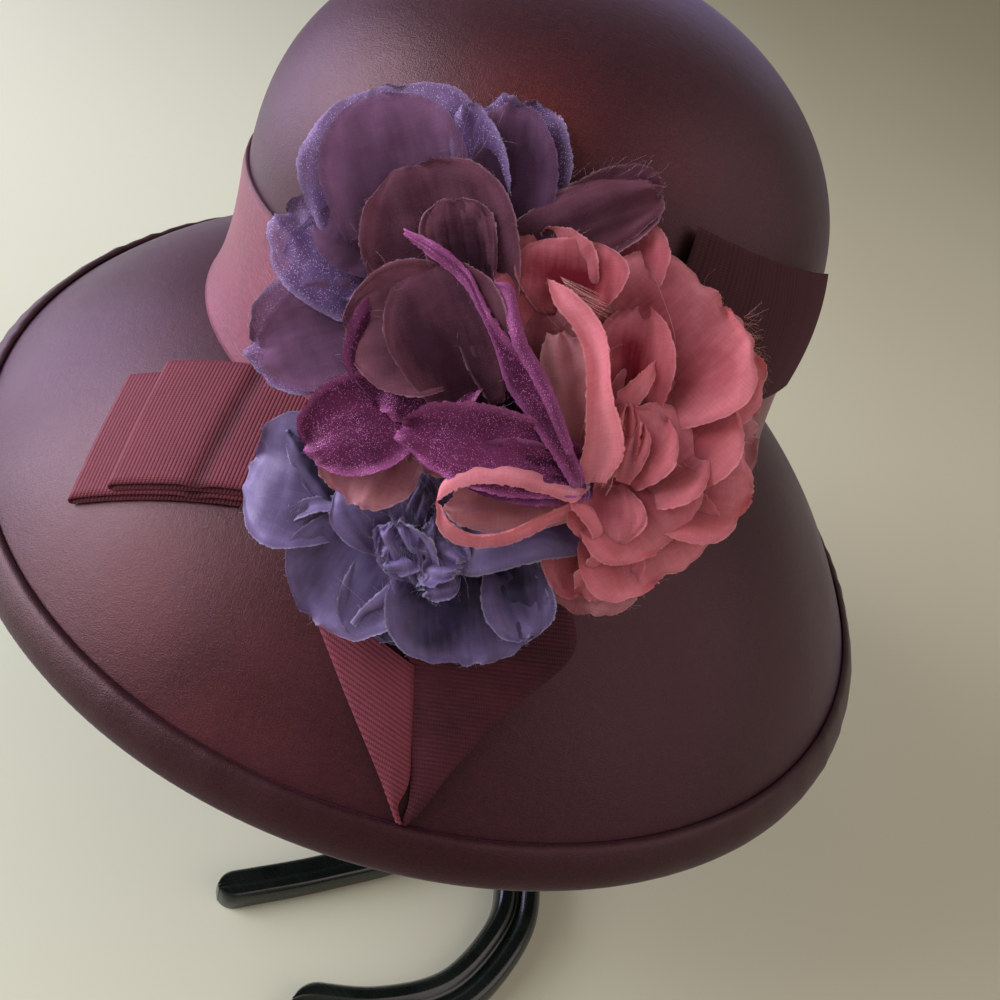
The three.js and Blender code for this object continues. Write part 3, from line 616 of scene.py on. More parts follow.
@dataclass(frozen=True)
class ChiffonFinish(Finish):
    """Soft petal cloth: deeper towards its base, paler and thinner at its rim, light passing through.

    Args:
        deep, pale, rim: colours as on screen at the base, at the outer part and along the cut edge.
        glow: how much light passes into the cloth.
        gloss: how smooth and shiny it is, from 0 to 1.
        cover: how much of what is behind it the cloth hides.
        veil: how much less it hides near its rim.
        fade: how far in from the rim the pale colour reaches, in millimetres.
        line: how much the cut edge shows as a pale line.
    """

    deep: Colour
    pale: Colour
    rim: Colour
    glow: float = 0.25
    gloss: float = 0.2
    cover: float = 1.0
    veil: float = 0.2
    fade: float = 12.0
    line: float = 0.35

    def look(self, t: Tree, groups: Groups) -> dict:
        """The shader's inputs by name."""
        cloth = t.cloth()
        place = t.place()
        weave, slub = groups.woven(t, cloth, 2800.0, 1.0)
        mottle = groups.uneven(t, place, 70.0)
        near = t.math("POWER", t.remap(t.tag("rim"), 0.0, self.fade, 1.0, 0.0), 1.6)
        # the tone tag carries painted light and shade as well as the cloth's own tone: lit petals are given
        # pale tones, shaded ones dark
        outer = t.plus(t.times(near, 0.6), t.times(t.tag("tone"), 0.5))
        outer = t.plus(outer, t.remap(t.tag("depth"), 0.5, 1.0, 0.0, 0.18))
        outer = t.plus(outer, t.times(t.minus(mottle, 0.5), 0.3))
        streak = t.noise(t.scaled(cloth, 1, 0.14, 1), 650, 3, 0.6)
        outer = t.plus(outer, t.remap(streak, 0.3, 0.7, -0.07, 0.07))
        colour = t.mix(outer, srgb(*self.deep), srgb(*self.pale))
        wisp = t.noise(t.scaled(cloth, 1, 0.4, 1), 1300, 3, 0.6)
        edge = t.times(t.remap(t.tag("rim"), 0.0, 0.7, 1.0, 0.0), t.remap(mottle, 0.0, 0.7, 0.25, 1.0))
        colour = t.mix(t.times(edge, self.line), colour, srgb(*self.rim))
        fine = t.remap(slub, 0.3, 0.7, 0.95, 1.05)
        colour = t.mix(1.0, colour, fine, blend_type="MULTIPLY")
        kept = t.math("GREATER_THAN", t.plus(t.tag("rim"), t.times(wisp, -1.4)), -0.55)
        threads = t.remap(slub, 0.3, 0.7, self.cover - 0.08, self.cover + 0.08)
        thin = t.plus(t.times(edge, 0.2), threads)
        sheer = t.minus(t.math("MINIMUM", thin, 1.0), t.remap(t.tag("rim"), 0.4, 2.6, self.veil, 0.0))
        return {"Base Color": colour, "Normal": t.bump(0.3, 0.0002, weave),
                "Alpha": t.times(sheer, kept), "Roughness": 0.8 - 0.45 * self.gloss,
                "Subsurface Weight": self.glow, "Subsurface Radius": (1.0, 0.45, 0.4),
                "Subsurface Scale": 0.003, "Sheen Weight": 0.07, "Sheen Tint": srgb(*self.rim),
                "Specular IOR Level": 0.15 + 0.4 * self.gloss, "Specular Tint": srgb(*self.rim)}


@dataclass(frozen=True)
class ThreadFinish(Finish):
    """Loose threads pulled from a cut edge, paler at their tips.

    Args:
        root, tip: colours as on screen at a thread's two ends.
    """

    root: Colour
    tip: Colour

    def look(self, t: Tree, groups: Groups) -> dict:
        """The shader's inputs by name."""
        place = t.place()
        mottle = groups.uneven(t, place, 300.0)
        share = t.plus(t.times(t.tag("share"), 0.6), t.times(mottle, 0.4))
        colour = t.mix(share, srgb(*self.root), srgb(*self.tip))
        return {"Base Color": colour, "Roughness": 0.45, "Sheen Weight": 0.4}


@dataclass(frozen=True)
class PlasticFinish(Finish):
    """Glossy moulded plastic with soft waves, faint scratches and a little dust.

    Args:
        colour, dust: colours as on screen of the plastic and of what lies on it.
    """

    colour: Colour
    dust: Colour

    def look(self, t: Tree, groups: Groups) -> dict:
        """The shader's inputs by name."""
        place = t.place()
        mottle = groups.uneven(t, place, 45.0)
        scratch = t.noise(t.scaled(place, 1, 14, 14, 30), 90, 4, 0.7)
        colour = t.mix(t.times(mottle, 0.12), srgb(*self.colour), srgb(*self.dust))
        rough = t.plus(t.remap(scratch, 0.4, 0.7, 0.16, 0.3), t.times(mottle, 0.08))
        height = t.plus(t.noise(place, 55, 2), t.times(scratch, 0.1))
        return {"Base Color": colour, "Roughness": rough, "Normal": t.bump(0.25, 0.001, height),
                "Coat Weight": 0.3, "Coat Roughness": 0.08}


class Cloth(Enum):
    """What the pieces are made of: a name, from which the slot in the record follows, and a finish."""

    # painted highlights: three spots where copper glints are painted brightest, two on the crown's front
    # above the flowers and one on the brim's front left
    SATIN = "satin", SatinFinish((22, 9, 14), (54, 23, 31), sheen_weight=0.36, painted_highlights=(
        (-0.0105, -0.064, 0.3, 0.036, 0.4),
        (-0.06, -0.135, 0.165, 0.1, 0.14),
        (0.03, -0.06, 0.31, 0.03, 0.1)))
    BINDING = "binding", SatinFinish((19, 9, 12), (43, 20, 25), sheen_weight=0.18)
    BAND = "band", SatinFinish((78, 37, 52), (136, 72, 94), sheen=(225, 150, 190), sheen_weight=0.26, turn=45)
    GROSGRAIN = "grosgrain", RibbedFinish((124, 58, 69), (42, 19, 25))
    # painted shade: a darker copy of the grosgrain for the point on the crown's shaded right side
    SHADED_GROSGRAIN = "grosgrain_shaded", RibbedFinish((70, 42, 46), (50, 30, 33), rough=0.9, sheen=0.1)
    VEIL = "purple_organza", OrganzaFinish(
        (66, 44, 80), (112, 84, 138), (204, 180, 228), cover=0.5, glint_amount=0.24)
    DUSK = "purple_organza_lining", ChiffonFinish(
        (58, 36, 56), (120, 82, 116), (146, 116, 162), glow=0.03, gloss=0.2, cover=0.9, veil=0.5, fade=8)
    PLUM = "plum_chiffon", ChiffonFinish(
        (54, 28, 42), (124, 74, 92), (184, 146, 166), glow=0.05, gloss=0.2, cover=0.86, veil=0.35, fade=8,
        line=0.6)
    MAGENTA = "magenta_organza", OrganzaFinish(
        (50, 20, 42), (124, 56, 100), (222, 126, 200), cover=0.96, glint_amount=0.5, rough=0.34)
    CORAL = "pink_chiffon", ChiffonFinish(
        (116, 24, 42), (244, 134, 150), (252, 196, 204), glow=0.5, gloss=0.1, cover=0.9, veil=0.4, fade=14)
    PALE = "pale_chiffon", ChiffonFinish(
        (132, 62, 74), (220, 148, 162), (240, 200, 206), glow=0.2, gloss=0.4, cover=0.78, veil=0.3, fade=12)
    BLUE = "blue_satin", ChiffonFinish(
        (28, 18, 48), (126, 108, 160), (214, 206, 232), glow=0.03, gloss=0.85, cover=0.96, veil=0.4, fade=8,
        line=0.55)
    PURPLE_THREAD = "frayed_thread_purple", ThreadFinish((120, 84, 132), (190, 165, 205))
    PINK_THREAD = "frayed_thread_pink", ThreadFinish((180, 92, 92), (232, 180, 172))
    BLUE_THREAD = "frayed_thread_blue", ThreadFinish((90, 84, 135), (196, 190, 220))
    PLASTIC = "stand_plastic", PlasticFinish((7, 14, 12), (60, 70, 66))

    def __init__(self, label: str, finish: Finish) -> None:
        """Keeps the name and the finish."""
        self.label = label
        self.finish = finish

    @property
    def slot(self) -> str:
        """The record's slot for this finish."""
        if self.label.startswith("frayed_thread"):
            return "frayed_thread"
        shared = {"grosgrain_shaded": "grosgrain", "purple_organza_lining": "purple_organza"}
        return shared.get(self.label, self.label)


class Wardrobe:
    """Makes each material once and dresses pieces in it."""

    def __init__(self) -> None:
        """Builds the shared groups and every material."""
        groups = Groups()
        self.materials = {cloth: cloth.finish.make(cloth.label, groups) for cloth in Cloth}

    def dress(self, obj: Thing, cloth: Cloth, nodes: tuple[str, ...] = ()) -> Thing:
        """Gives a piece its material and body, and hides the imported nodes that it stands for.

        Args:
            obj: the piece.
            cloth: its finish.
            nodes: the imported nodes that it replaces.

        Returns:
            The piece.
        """
        obj.data.materials.append(self.materials[cloth])
        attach(obj, "root")
        cloth.slot
        if nodes:
            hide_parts(*nodes)
        log.info("%s: %d faces", obj.name, len(obj.data.polygons))
        return obj


# The hat's body


@dataclass(frozen=True)
class Wave:
    """A value that goes round the oval as a mean with a first and a second wave.

    Args:
        mean: the value's mean.
        cos1, sin1: strengths of the wave that goes round once.
        cos2, sin2: strengths of the wave that goes round twice.
    """

    mean: float
    cos1: float
    sin1: float
    cos2: float
    sin2: float

    def at(self, theta: Array) -> Array:
        """The value at angles round the oval."""
        return (self.mean + self.cos1 * np.cos(theta) + self.sin1 * np.sin(theta)
                + self.cos2 * np.cos(2 * theta) + self.sin2 * np.sin(2 * theta))


def bend(share: float, s: Array) -> Array:
    """Part of a curve from 0 to 1 whose middle point stands at a share: 2s(1-s)share + s^2."""
    return 2 * s * (1 - s) * share + s * s


@dataclass(frozen=True)
class HatForm:
    """The oval crown and the sloping brim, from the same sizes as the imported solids, in millimetres.

    Args:
        base_z: height of the crown's base over the table.
        half_length, half_width: of the crown's oval at its base.
        height: of the crown.
        wall_height: height of its wall, below the dome.
        taper: how much the wall narrows, as a share.
        squareness: power of the dome's curve, 2 for a round one.
        seat_gap: gap between pieces that are seated on each other.
        wall: thickness of the cloth.
        reach, drop: how far the brim's edge stands out from the crown's base, and how far it lies below.
        reach_bend, drop_bend: where the middle of the brim's slope stands, as shares of these two.
    """

    base_z: float = 200.0
    half_length: float = 100.3
    half_width: float = 86.3
    height: float = 130.0
    wall_height: float = 45.0
    taper: float = 0.056
    squareness: float = 2.185
    seat_gap: float = 0.3
    wall: float = 2.0
    reach: Wave = Wave(78.2, 1.7, -3.0, -0.2, 0.0)
    drop: Wave = Wave(64.5, 9.8, -9.2, 4.0, 3.1)
    reach_bend: float = 0.54
    drop_bend: float = 0.30

    def share(self, height: Array) -> Array:
        """Half of the crown's oval at a height over its base, as a share of the base oval."""
        wall = 1 - self.taper * np.sin(np.pi / 2 * np.clip(height, 0, self.wall_height) / self.wall_height)
        rise = np.clip((height - self.wall_height) / (self.height - self.wall_height), 0, 1)
        sine = rise ** (self.squareness / 2)
        dome = (1 - self.taper) * np.sqrt(1 - sine * sine) ** (2 / self.squareness)
        return np.where(height <= self.wall_height, wall, dome)

    def crown(self, theta: Array, height: Array, grow: Array | float = 0.0) -> Array:
        """Points on the crown: x = (a share + grow) cos, y = (b share + grow) sin, z = base + height."""
        share = self.share(height)
        x = (self.half_length * share + grow) * np.cos(theta)
        y = (self.half_width * share + grow) * np.sin(theta)
        return np.stack(np.broadcast_arrays(x, y, self.base_z + height), -1)

    def brim(self, theta: Array, s: Array) -> Array:
        """Points on the brim's top face: the oval grown by reach bend(s), lowered by drop bend(s)."""
        grow = self.reach.at(theta) * bend(self.reach_bend, s)
        low = self.drop.at(theta) * bend(self.drop_bend, s)
        x = (self.half_length + grow) * np.cos(theta)
        y = (self.half_width + grow) * np.sin(theta)
        return np.stack(np.broadcast_arrays(x, y, self.base_z - low), -1)

    def brim_off(self, theta: Array, s: Array, lift: Array | float, past: Array | float = 0.0) -> Array:
        """Points off the brim: lift along its upward normal, past beyond it along its slope."""
        step = 0.01
        out = unit(self.brim(theta, s + step) - self.brim(theta, s - step))
        around = unit(self.brim(theta + step, s) - self.brim(theta - step, s))
        normal = unit(np.cross(out, around))
        lift, past = np.asarray(lift)[..., None], np.asarray(past)[..., None]
        return self.brim(theta, s) + normal * lift + out * past

    def brim_height(self, x: Array, y: Array) -> Array:
        """Height of the brim's top face over points in plan, by halving the offset oval through them."""
        low, high = np.full(np.shape(x), -60.0), np.full(np.shape(x), 140.0)
        for _ in range(36):
            middle = (low + high) / 2
            outside = (x / (self.half_length + middle)) ** 2 + (y / (self.half_width + middle)) ** 2 > 1
            low, high = np.where(outside, middle, low), np.where(outside, high, middle)
        theta = np.arctan2(y / (self.half_width + low), x / (self.half_length + low))
        linear = 2 * self.reach_bend
        square = 1 - linear
        share = low / self.reach.at(theta)
        s = (-linear + np.sqrt(np.maximum(linear**2 + 4 * square * share, 0))) / (2 * square)
        return self.base_z - self.drop.at(theta) * bend(self.drop_bend, s)


FORM = HatForm()


@dataclass(frozen=True)
class Sight:
    """The picture's viewing point: a 36 mm lens over a 36 mm square sensor.

    Args:
        place: where the lens stands, in millimetres.
        right, up, ahead: directions of the picture's own axes.
    """

    place: tuple[float, float, float] = (0.0, -313.65, 392.79)
    right: tuple[float, float, float] = (0.94439748, 0.16702565, 0.283224)
    up: tuple[float, float, float] = (-0.3241159, 0.61785696, 0.71638094)
    ahead: tuple[float, float, float] = (0.05533793, 0.76834576, -0.63763823)

    def on_brim(self, marks: Array, lift: Array | float) -> Array:
        """Places at a lift over the brim that are seen at marks in the picture.

        Args:
            marks: (..., 2) across and down in thousandths of the picture.
            lift: height over the brim's face in millimetres.

        Returns:
            (..., 3) places, found by walking along each line of sight to the brim's height.
        """
        aim = (np.array(self.ahead) + (marks[..., :1] - 500) / 1000 * np.array(self.right)
               + (500 - marks[..., 1:2]) / 1000 * np.array(self.up))
        height = np.full(marks.shape[:-1], 160.0)
        for _ in range(24):
            point = np.array(self.place) + aim * ((height - self.place[2]) / aim[..., 2])[..., None]
            height = lerp(height, FORM.brim_height(point[..., 0], point[..., 1]) + lift, 0.7)
        return np.array(self.place) + aim * ((height - self.place[2]) / aim[..., 2])[..., None]


SIGHT = Sight()


def around(count: int) -> Array:
    """Angles of a closed ring."""
    return np.arange(count) * 2 * np.pi / count


@dataclass
class HatBody:
    """Crown, brim, padded binding and bias band, sizes in millimetres.

    A relief is the height of soft unevenness, pucker the same as a share, and each has its length. The
    band's foot flares up to its flare height. The radii are means, for lengths of cloth round a piece.
    """

    wardrobe: Wardrobe
    steps: int = 220
    band_height: float = 50.0
    band_wall: float = 1.2
    band_flare: float = 1.6
    band_flare_height: float = 14.0
    band_drag: float = 0.22
    relief: float = 0.45
    relief_length: float = 62.0
    brim_relief: float = 0.35
    brim_relief_length: float = 70.0
    pucker: float = 0.12
    pucker_length: float = 7.0
    crown_radius: float = 94.0
    band_radius: float = 95.0
    brim_radius: float = 140.0
    edge_radius: float = 165.0

    def ring_cloth(self, rows: Array, radius: float) -> Array:
        """Cloth coordinates of a ring: arc length round it and the given distance up it."""
        u = np.arange(self.steps + 1) * 2 * np.pi * radius / self.steps
        return np.stack(np.meshgrid(u, rows), -1)

    def crown(self) -> Thing:
        """The dome: rows up the wall, then rows over the top at even angles, closed by a fan."""
        f = FORM
        wall = np.linspace(0, f.wall_height, 16)[:-1]
        angle = np.linspace(0, 0.995 * np.pi / 2, 46)
        dome = f.wall_height + (f.height - f.wall_height) * np.sin(angle) ** (2 / f.squareness)
        heights = np.concatenate([wall, dome])
        points = f.crown(around(self.steps)[None], heights[:, None]) + np.array([0, 0, f.seat_gap])
        relief = self.relief * ripple(3, points, self.relief_length) * ease(heights, 40, 75)[:, None]
        surface = Surface(points, self.ring_cloth(heights, self.crown_radius), wrap=True, caps=("end",))
        piece = build_mesh("crown_satin", [surface.lifted(-relief)])
        thicken(piece, f.wall, -1.0)
        return self.wardrobe.dress(piece, Cloth.SATIN, ("crown",))

    def brim(self) -> Thing:
        """The sloping skirt, with shallow waves in its cloth, from under the crown to inside the binding."""
        f = FORM
        s = np.concatenate([[0.0], np.linspace(0.02, 0.985, 44)])
        theta = around(self.steps)
        wave = ripple(8, f.brim(theta[None], s[:, None]), self.brim_relief_length)
        lift = self.brim_relief * wave * np.sin(np.pi * s)[:, None] ** 2
        points = f.brim_off(theta[None], s[:, None], lift)
        collar = f.crown(theta, np.zeros(1), -f.wall)[None]
        rows = np.concatenate([[-2], s * 90])
        cloth = self.ring_cloth(rows, self.brim_radius)[::-1]
        surface = Surface(np.vstack([collar, points])[::-1], cloth, wrap=True)
        piece = build_mesh("brim_satin", [surface])
        thicken(piece, f.wall, -1.0)
        return self.wardrobe.dress(piece, Cloth.SATIN, ("brim",))

    def binding(self) -> Thing:
        """The padded strip folded round the edge: a closed profile carried round the brim.

        Columns of the profile: share of the way down the brim, lift off its top face and distance past
        its edge, both in millimetres.
        """
        f = FORM
        profile = np.array([
            [0.893, 0.25, 0], [0.889, 0.7, 0], [0.893, 1.7, 0], [0.905, 2.5, 0], [0.93, 2.75, 0],
            [0.96, 2.6, 0], [0.985, 1.9, 0], [1.0, 0.6, 0.6], [1.0, -1.2, 1.0], [1.0, -2.6, 0.4],
            [0.985, -3.6, 0], [0.96, -3.7, 0], [0.925, -3.5, 0], [0.91, -3.1, 0], [0.912, -2.35, 0],
            [0.95, -2.32, 0], [0.985, -2.3, 0], [0.9885, -1.0, 0], [0.985, 0.3, 0], [0.94, 0.28, 0],
        ])
        loop = curve_through(np.vstack([profile, profile[:1]]), np.linspace(0, 1, 61))[:-1]
        theta = around(self.steps)
        pucker = self.pucker * ripple(11, np.stack([theta * 170, theta * 0], -1), self.pucker_length)
        lift = loop[:, 1:2] * (1 + pucker[None])
        points = f.brim_off(theta[None], loop[:, :1], lift, np.broadcast_to(loop[:, 2:], lift.shape))
        closed = np.concatenate([points, points[:1]], 0)
        rows = np.arange(len(closed)) * 0.6
        surface = Surface(closed, self.ring_cloth(rows, self.edge_radius), wrap=True)
        piece = build_mesh("brim_binding_roll", [surface])
        merge_doubles(piece)
        return self.wardrobe.dress(piece, Cloth.BINDING, ("brim_binding",))

    def band_offset(self, height: Array) -> Array:
        """How far the band stands off the crown: a gap and a flare at its foot."""
        low = np.clip(1 - height / self.band_flare_height, 0, 1)
        return FORM.seat_gap + self.band_flare * low * low

    def band(self) -> Thing:
        """The bias strip round the crown with its top edge turned in and soft slanting drag lines."""
        heights = np.concatenate([np.linspace(0.4, 48, 34), [49.2, 49.8, 50.0]])
        theta = around(self.steps)
        turned = 0.5 * ease(heights, 47, 50)
        slant = theta[None] * self.band_radius + heights[:, None] * 0.9
        drag = self.band_drag * np.sin(slant / 11 + 1.2 * np.sin(theta[None] * 3))
        drag = drag * np.sin(np.pi * heights[:, None] / self.band_height)
        grow = self.band_offset(heights)[:, None] + 0.25 + drag - turned[:, None] + 0.4
        points = FORM.crown(theta[None], heights[:, None], grow)
        # painted shadow: a dark line along the turned-in top edge, where shade falls
        seam = np.broadcast_to(0.85 * ease(heights, 48.6, 49.6)[:, None], points.shape[:2])
        cloth = self.ring_cloth(heights, self.band_radius)
        surface = Surface(points, cloth, wrap=True, tags={"seam": seam})
        piece = build_mesh("hat_band_bias", [surface])
        thicken(piece, self.band_wall)
        return self.wardrobe.dress(piece, Cloth.BAND, ("hat_band",))

    def build(self) -> None:
        """Builds the four pieces."""
        self.crown()
        self.brim()
        self.binding()
        self.band()


def merge_doubles(obj: Thing) -> None:
    """Merges points that lie together and turns the closed surface's faces outwards."""
    work = bmesh.new()
    work.from_mesh(obj.data)
    bmesh.ops.remove_doubles(work, verts=work.verts, dist=1e-6)
    bmesh.ops.recalc_face_normals(work, faces=work.faces)
    work.to_mesh(obj.data)
    work.free()


# Ribbed ribbon


def rib_relief(along: Array, pitch: float, depth: float) -> tuple[Array, Array]:
    """Rounded ridges: |cos| of the place over the pitch, to the power 0.7.

    Args:
        along: places across the ribs in millimetres.
        pitch: from rib to rib.
        depth: height of the ridges.

    Returns:
        The height in millimetres, and the same from 0 to 1.
    """
    share = np.abs(np.cos(np.pi * along / pitch)) ** 0.7
    return share * depth, share


@dataclass(frozen=True)
class SideLoop:
    """One loop of the side ribbon, in millimetres.

    Args:
        name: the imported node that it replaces.
        reach: distance of its fold from the start of the ribbon.
        lift: height of its lower layer over the brim.
        rise: height from its lower layer to its upper one.
    """

    name: str
    reach: float
    lift: float
    rise: float


@dataclass
class RibbonTrim:
    """Two stacked side loops, the folded point on the brim and the folded point against the crown.

    In millimetres: pitch is from rib to rib, rib its height, and crown_patch the cloth's width and length
    in the crown's point. A used share says how much of its flat rectangle a point's cloth fills; the two
    used shares are not used. start and run are where the side loops' line starts and its direction in plan.
    """

    wardrobe: Wardrobe
    width: float = 37.0
    pitch: float = 1.12
    rib: float = 0.22
    crown_point_pitch: float = 1.6
    crown_point_rib: float = 0.16
    loop_wall: float = 0.7
    front_wall: float = 0.6
    crown_wall: float = 1.0
    front_used: float = 0.75
    crown_used: float = 0.8
    crown_patch: tuple[float, float] = (45.0, 62.0)
    start: tuple[float, float] = (-42.0, -85.5)
    run: tuple[float, float] = (-0.99995, 0.01)
    loops: tuple[SideLoop, ...] = (SideLoop("side_loop_lower", 64, 1.5, 2.2),
                                   SideLoop("side_loop_upper", 52, 5.8, 2.2))

    def laid(self, along: Array, across: Array, lift: Array) -> Array:
        """Ribbon laid on the brim along a straight line in plan, at a lift over its face."""
        x = self.start[0] + self.run[0] * along - self.run[1] * across
        y = self.start[1] + self.run[1] * along + self.run[0] * across
        return np.stack([x, y, FORM.brim_height(x, y) + lift], -1)

    def side_loop(self, loop: SideLoop) -> Thing:
        """A length of ribbon that runs out, turns over in a half circle and comes back.

        The path is straight for reach - radius, then radius (sin turn, 1 - cos turn), then back.
        """
        radius = loop.rise / 2
        straight = loop.reach - radius
        total = 2 * straight + math.pi * radius
        steps = int(total / self.pitch * 7)
        run = np.linspace(0, total, steps)
        turn = np.clip((run - straight) / radius, 0, math.pi)
        back = np.maximum(run - straight - math.pi * radius, 0)
        along = np.minimum(run, straight) - back + radius * np.sin(turn)
        lift = loop.lift + radius * (1 - np.cos(turn))
        cols = 19
        t = np.linspace(-1, 1, cols)
        edge = ease(np.abs(t), 0.93, 0.97) * (1 - ease(np.abs(t), 0.985, 1.0))
        sag = 0.5 * np.sin(np.pi * np.clip(along / loop.reach, 0, 1))[:, None] * (1 - t[None] ** 2)
        shaded_crease = np.exp(-(((along[:, None] - 24 - 2 * t[None]) / 3.4) ** 2)) * (turn[:, None] > 3)
        across = np.broadcast_to(t * self.width / 2, (steps, cols))
        points = self.laid(np.broadcast_to(along[:, None], (steps, cols)), across,
                           lift[:, None] + sag - 1.1 * shaded_crease)
        height, share = rib_relief(run, self.pitch, self.rib)
        relief = height[:, None] * (1 - 0.3 * edge[None]) + 0.25 * edge[None]
        cloth = np.stack(np.broadcast_arrays(across, run[:, None]), -1)
        # painted shade: the crease is painted darker as well as sunk
        rib = share[:, None] * (1 - 0.2 * edge[None]) - 0.45 * shaded_crease
        surface = Surface(points, cloth, tags={"rib": rib})
        piece = build_mesh(loop.name + "_ribbed", [surface.lifted(-relief)])
        thicken(piece, self.loop_wall)
        return self.wardrobe.dress(piece, Cloth.GROSGRAIN, (loop.name,))

    def flap(self, marks: tuple[tuple[float, ...], ...], lift: float, puff: float, seed: int, shade: float,
             turned: tuple[float, float]) -> Surface:
        """One half of the folded point, laid in rows that follow its ribs.

        Each row runs from the inner line to the outer edge; at both it rounds down and goes back under.

        Args:
            marks: stations from top to tip: across and down of the inner line, then of the outer edge.
            lift: height of the ribbon over the brim.
            puff: how much its middle stands up.
            seed: picks the small unevenness.
            shade: painted shade, how much darker the flap is painted, taken off its rib value.
            turned: share of a row that is turned under at the inner and the outer edge.

        Returns:
            The surface.
        """
        rows, cols = 400, 27
        share = np.linspace(0, 1, rows)
        read = curve_through(np.array(marks, float), share)
        run = np.linspace(-turned[0], 1 + turned[1], cols)
        back = np.where(run < 0, -2 * run, np.where(run > 1, 2 - 2 * run, 0))
        place = np.clip(run + back, 0, 1)[None, :, None]
        middle = np.sin(np.pi * place[..., 0])
        soft = ease(share, 0, 0.2)[:, None] * ease(1 - share, 0, 0.15)[:, None]
        under = 1.5 * ease(-run, -0.02, 0.03) + 1.5 * ease(run, 0.98, 1.03)
        picture = lerp(read[:, None, 0:2], read[:, None, 2:4], place)
        height = lift + puff * middle * soft - under[None]
        points = SIGHT.on_brim(picture, height)
        points[..., 2] += 0.12 * ripple(seed, points[..., :2], 22)
        step = np.diff(points[:, cols // 2], axis=0)
        ahead = unit(points[:-1, -4] - points[:-1, 4] + 1e-6)
        gap = np.linalg.norm(step - (step * ahead).sum(-1, keepdims=True) * ahead, axis=-1)
        length = np.concatenate([[0], np.cumsum(gap)])
        relief, rib = rib_relief(length, self.pitch * 1.12, self.rib)
        span = np.linalg.norm(points[:, -4] - points[:, 4], axis=-1)
        cloth = np.stack(np.broadcast_arrays(run[None] * span[:, None], length[:, None]), -1)
        seam = np.exp(-(((place[..., 0] - 0.02) / 0.03) ** 2))
        rib = rib[:, None] * (1 - shade) + 0.5 * seam - 0.3 * shade
        surface = Surface(points, cloth, tags={"rib": rib})
        up = np.sign(surface.normals()[rows // 2, cols // 2, 2])
        return surface.lifted(relief[:, None] * up * (1 - ease(under, 0.0, 1.0))[None])

    def front_point(self) -> Thing:
        """The point on the brim: two flaps that meet along a middle fold and open in a slit at the tip."""
        left = self.flap(((414, 666, 300, 580), (413, 705, 325, 641), (411, 745, 349, 702),
                          (408, 782, 374, 762), (397, 806, 388, 797), (400, 824, 397, 822)),
                         lift=3.4, puff=1.0, seed=5, shade=0.0, turned=(0.1, 0.15))
        # painted shade: the right flap is painted darker, as it lies in shade
        right = self.flap(((404, 575, 572, 600), (404, 632, 576, 654), (408, 690, 520, 705),
                           (410, 755, 460, 762), (410, 800, 424, 806), (402, 824, 405, 825)),
                          lift=2.1, puff=0.9, seed=6, shade=0.55, turned=(0.0, 0.15))
        piece = build_mesh("front_point_ribbed", [left, right])
        thicken(piece, self.front_wall)
        return self.wardrobe.dress(piece, Cloth.GROSGRAIN, ("front_point",))

    def crown_point(self) -> Thing:
        """The point against the crown: a four-cornered patch with a bulge.

        Its corners are given by angle round the crown in degrees, height over the crown's base and
        distance off the crown in millimetres.
        """
        corners = {"tip": (-22, 80, 4.3), "top": (-62, 94, 4.3), "low": (-24, 44, 4.3),
                   "inner": (-71, 45, 5.3)}
        s, across = np.meshgrid(np.linspace(0, 1, 110), np.linspace(0, 1, 40), indexing="ij")
        top, tip, inner, low = (corners[name] for name in ("top", "tip", "inner", "low"))
        value = [lerp(lerp(top[k], tip[k], s), lerp(inner[k], low[k], s), across) for k in range(3)]
        bulge = 1.6 * np.sin(np.pi * s) * np.sin(np.pi * across)
        points = FORM.crown(np.radians(value[0]), value[1], value[2] + bulge)
        cloth = np.stack([across * self.crown_patch[0], s * self.crown_patch[1]], -1)
        relief, rib = rib_relief(cloth[..., 1], self.crown_point_pitch, self.crown_point_rib)
        surface = Surface(points, cloth, tags={"rib": rib})
        piece = build_mesh("crown_point_ribbed", [surface.lifted(relief)])
        thicken(piece, self.crown_wall)
        # painted shade: dressed in the darker, shaded copy of the grosgrain
        return self.wardrobe.dress(piece, Cloth.SHADED_GROSGRAIN, ("crown_point",))

    def build(self) -> None:
        """Builds the four ribbon pieces."""
        for loop in self.loops:
            self.side_loop(loop)
        self.front_point()
        self.crown_point()


# The flowers


@dataclass(frozen=True)
class CorsageFrame:
    """The flowers' own frame: right, up and out of their common face, at the picture's viewing angle.

    Args:
        origin: its origin in the hat's frame, in millimetres.
        yaw, pitch, roll: the face's turns in degrees.
        distance: from the viewing point to the face, in millimetres.
        drop: how far the picture's middle lies over the origin, in millimetres.
    """

    origin: tuple[float, float, float] = (5.7, -106.1, 251.3)
    yaw: float = 4.12
    pitch: float = 39.62
    roll: float = 21.57
    distance: float = 250.0
    drop: float = 25.0

    def axes(self) -> Array:
        """Rows right, up and out."""
        yaw, pitch, roll = (math.radians(a) for a in (self.yaw, self.pitch, self.roll))
        level_part = math.cos(pitch)
        out = -np.array([math.sin(yaw) * level_part, math.cos(yaw) * level_part, -math.sin(pitch)])
        level = np.array([math.cos(yaw), -math.sin(yaw), 0.0])
        right = level * math.cos(roll) + np.cross(out, level) * math.sin(roll)
        return np.stack([right, np.cross(out, right), out])

    def flat(self, across: Array, down: Array, w: Array) -> Array:
        """Places in the flowers' frame, in millimetres, from thousandths of the picture and a height w."""
        scale = (self.distance - w) / 1000
        x, y = (across - 500) * scale, (500 - down) * scale - self.drop
        return np.stack(np.broadcast_arrays(x, y, w), -1)

    def world(self, places: Array) -> Array:
        """Places in the flowers' frame carried to the hat's frame."""
        return np.array(self.origin) + places @ self.axes()


CORSAGE = CorsageFrame()


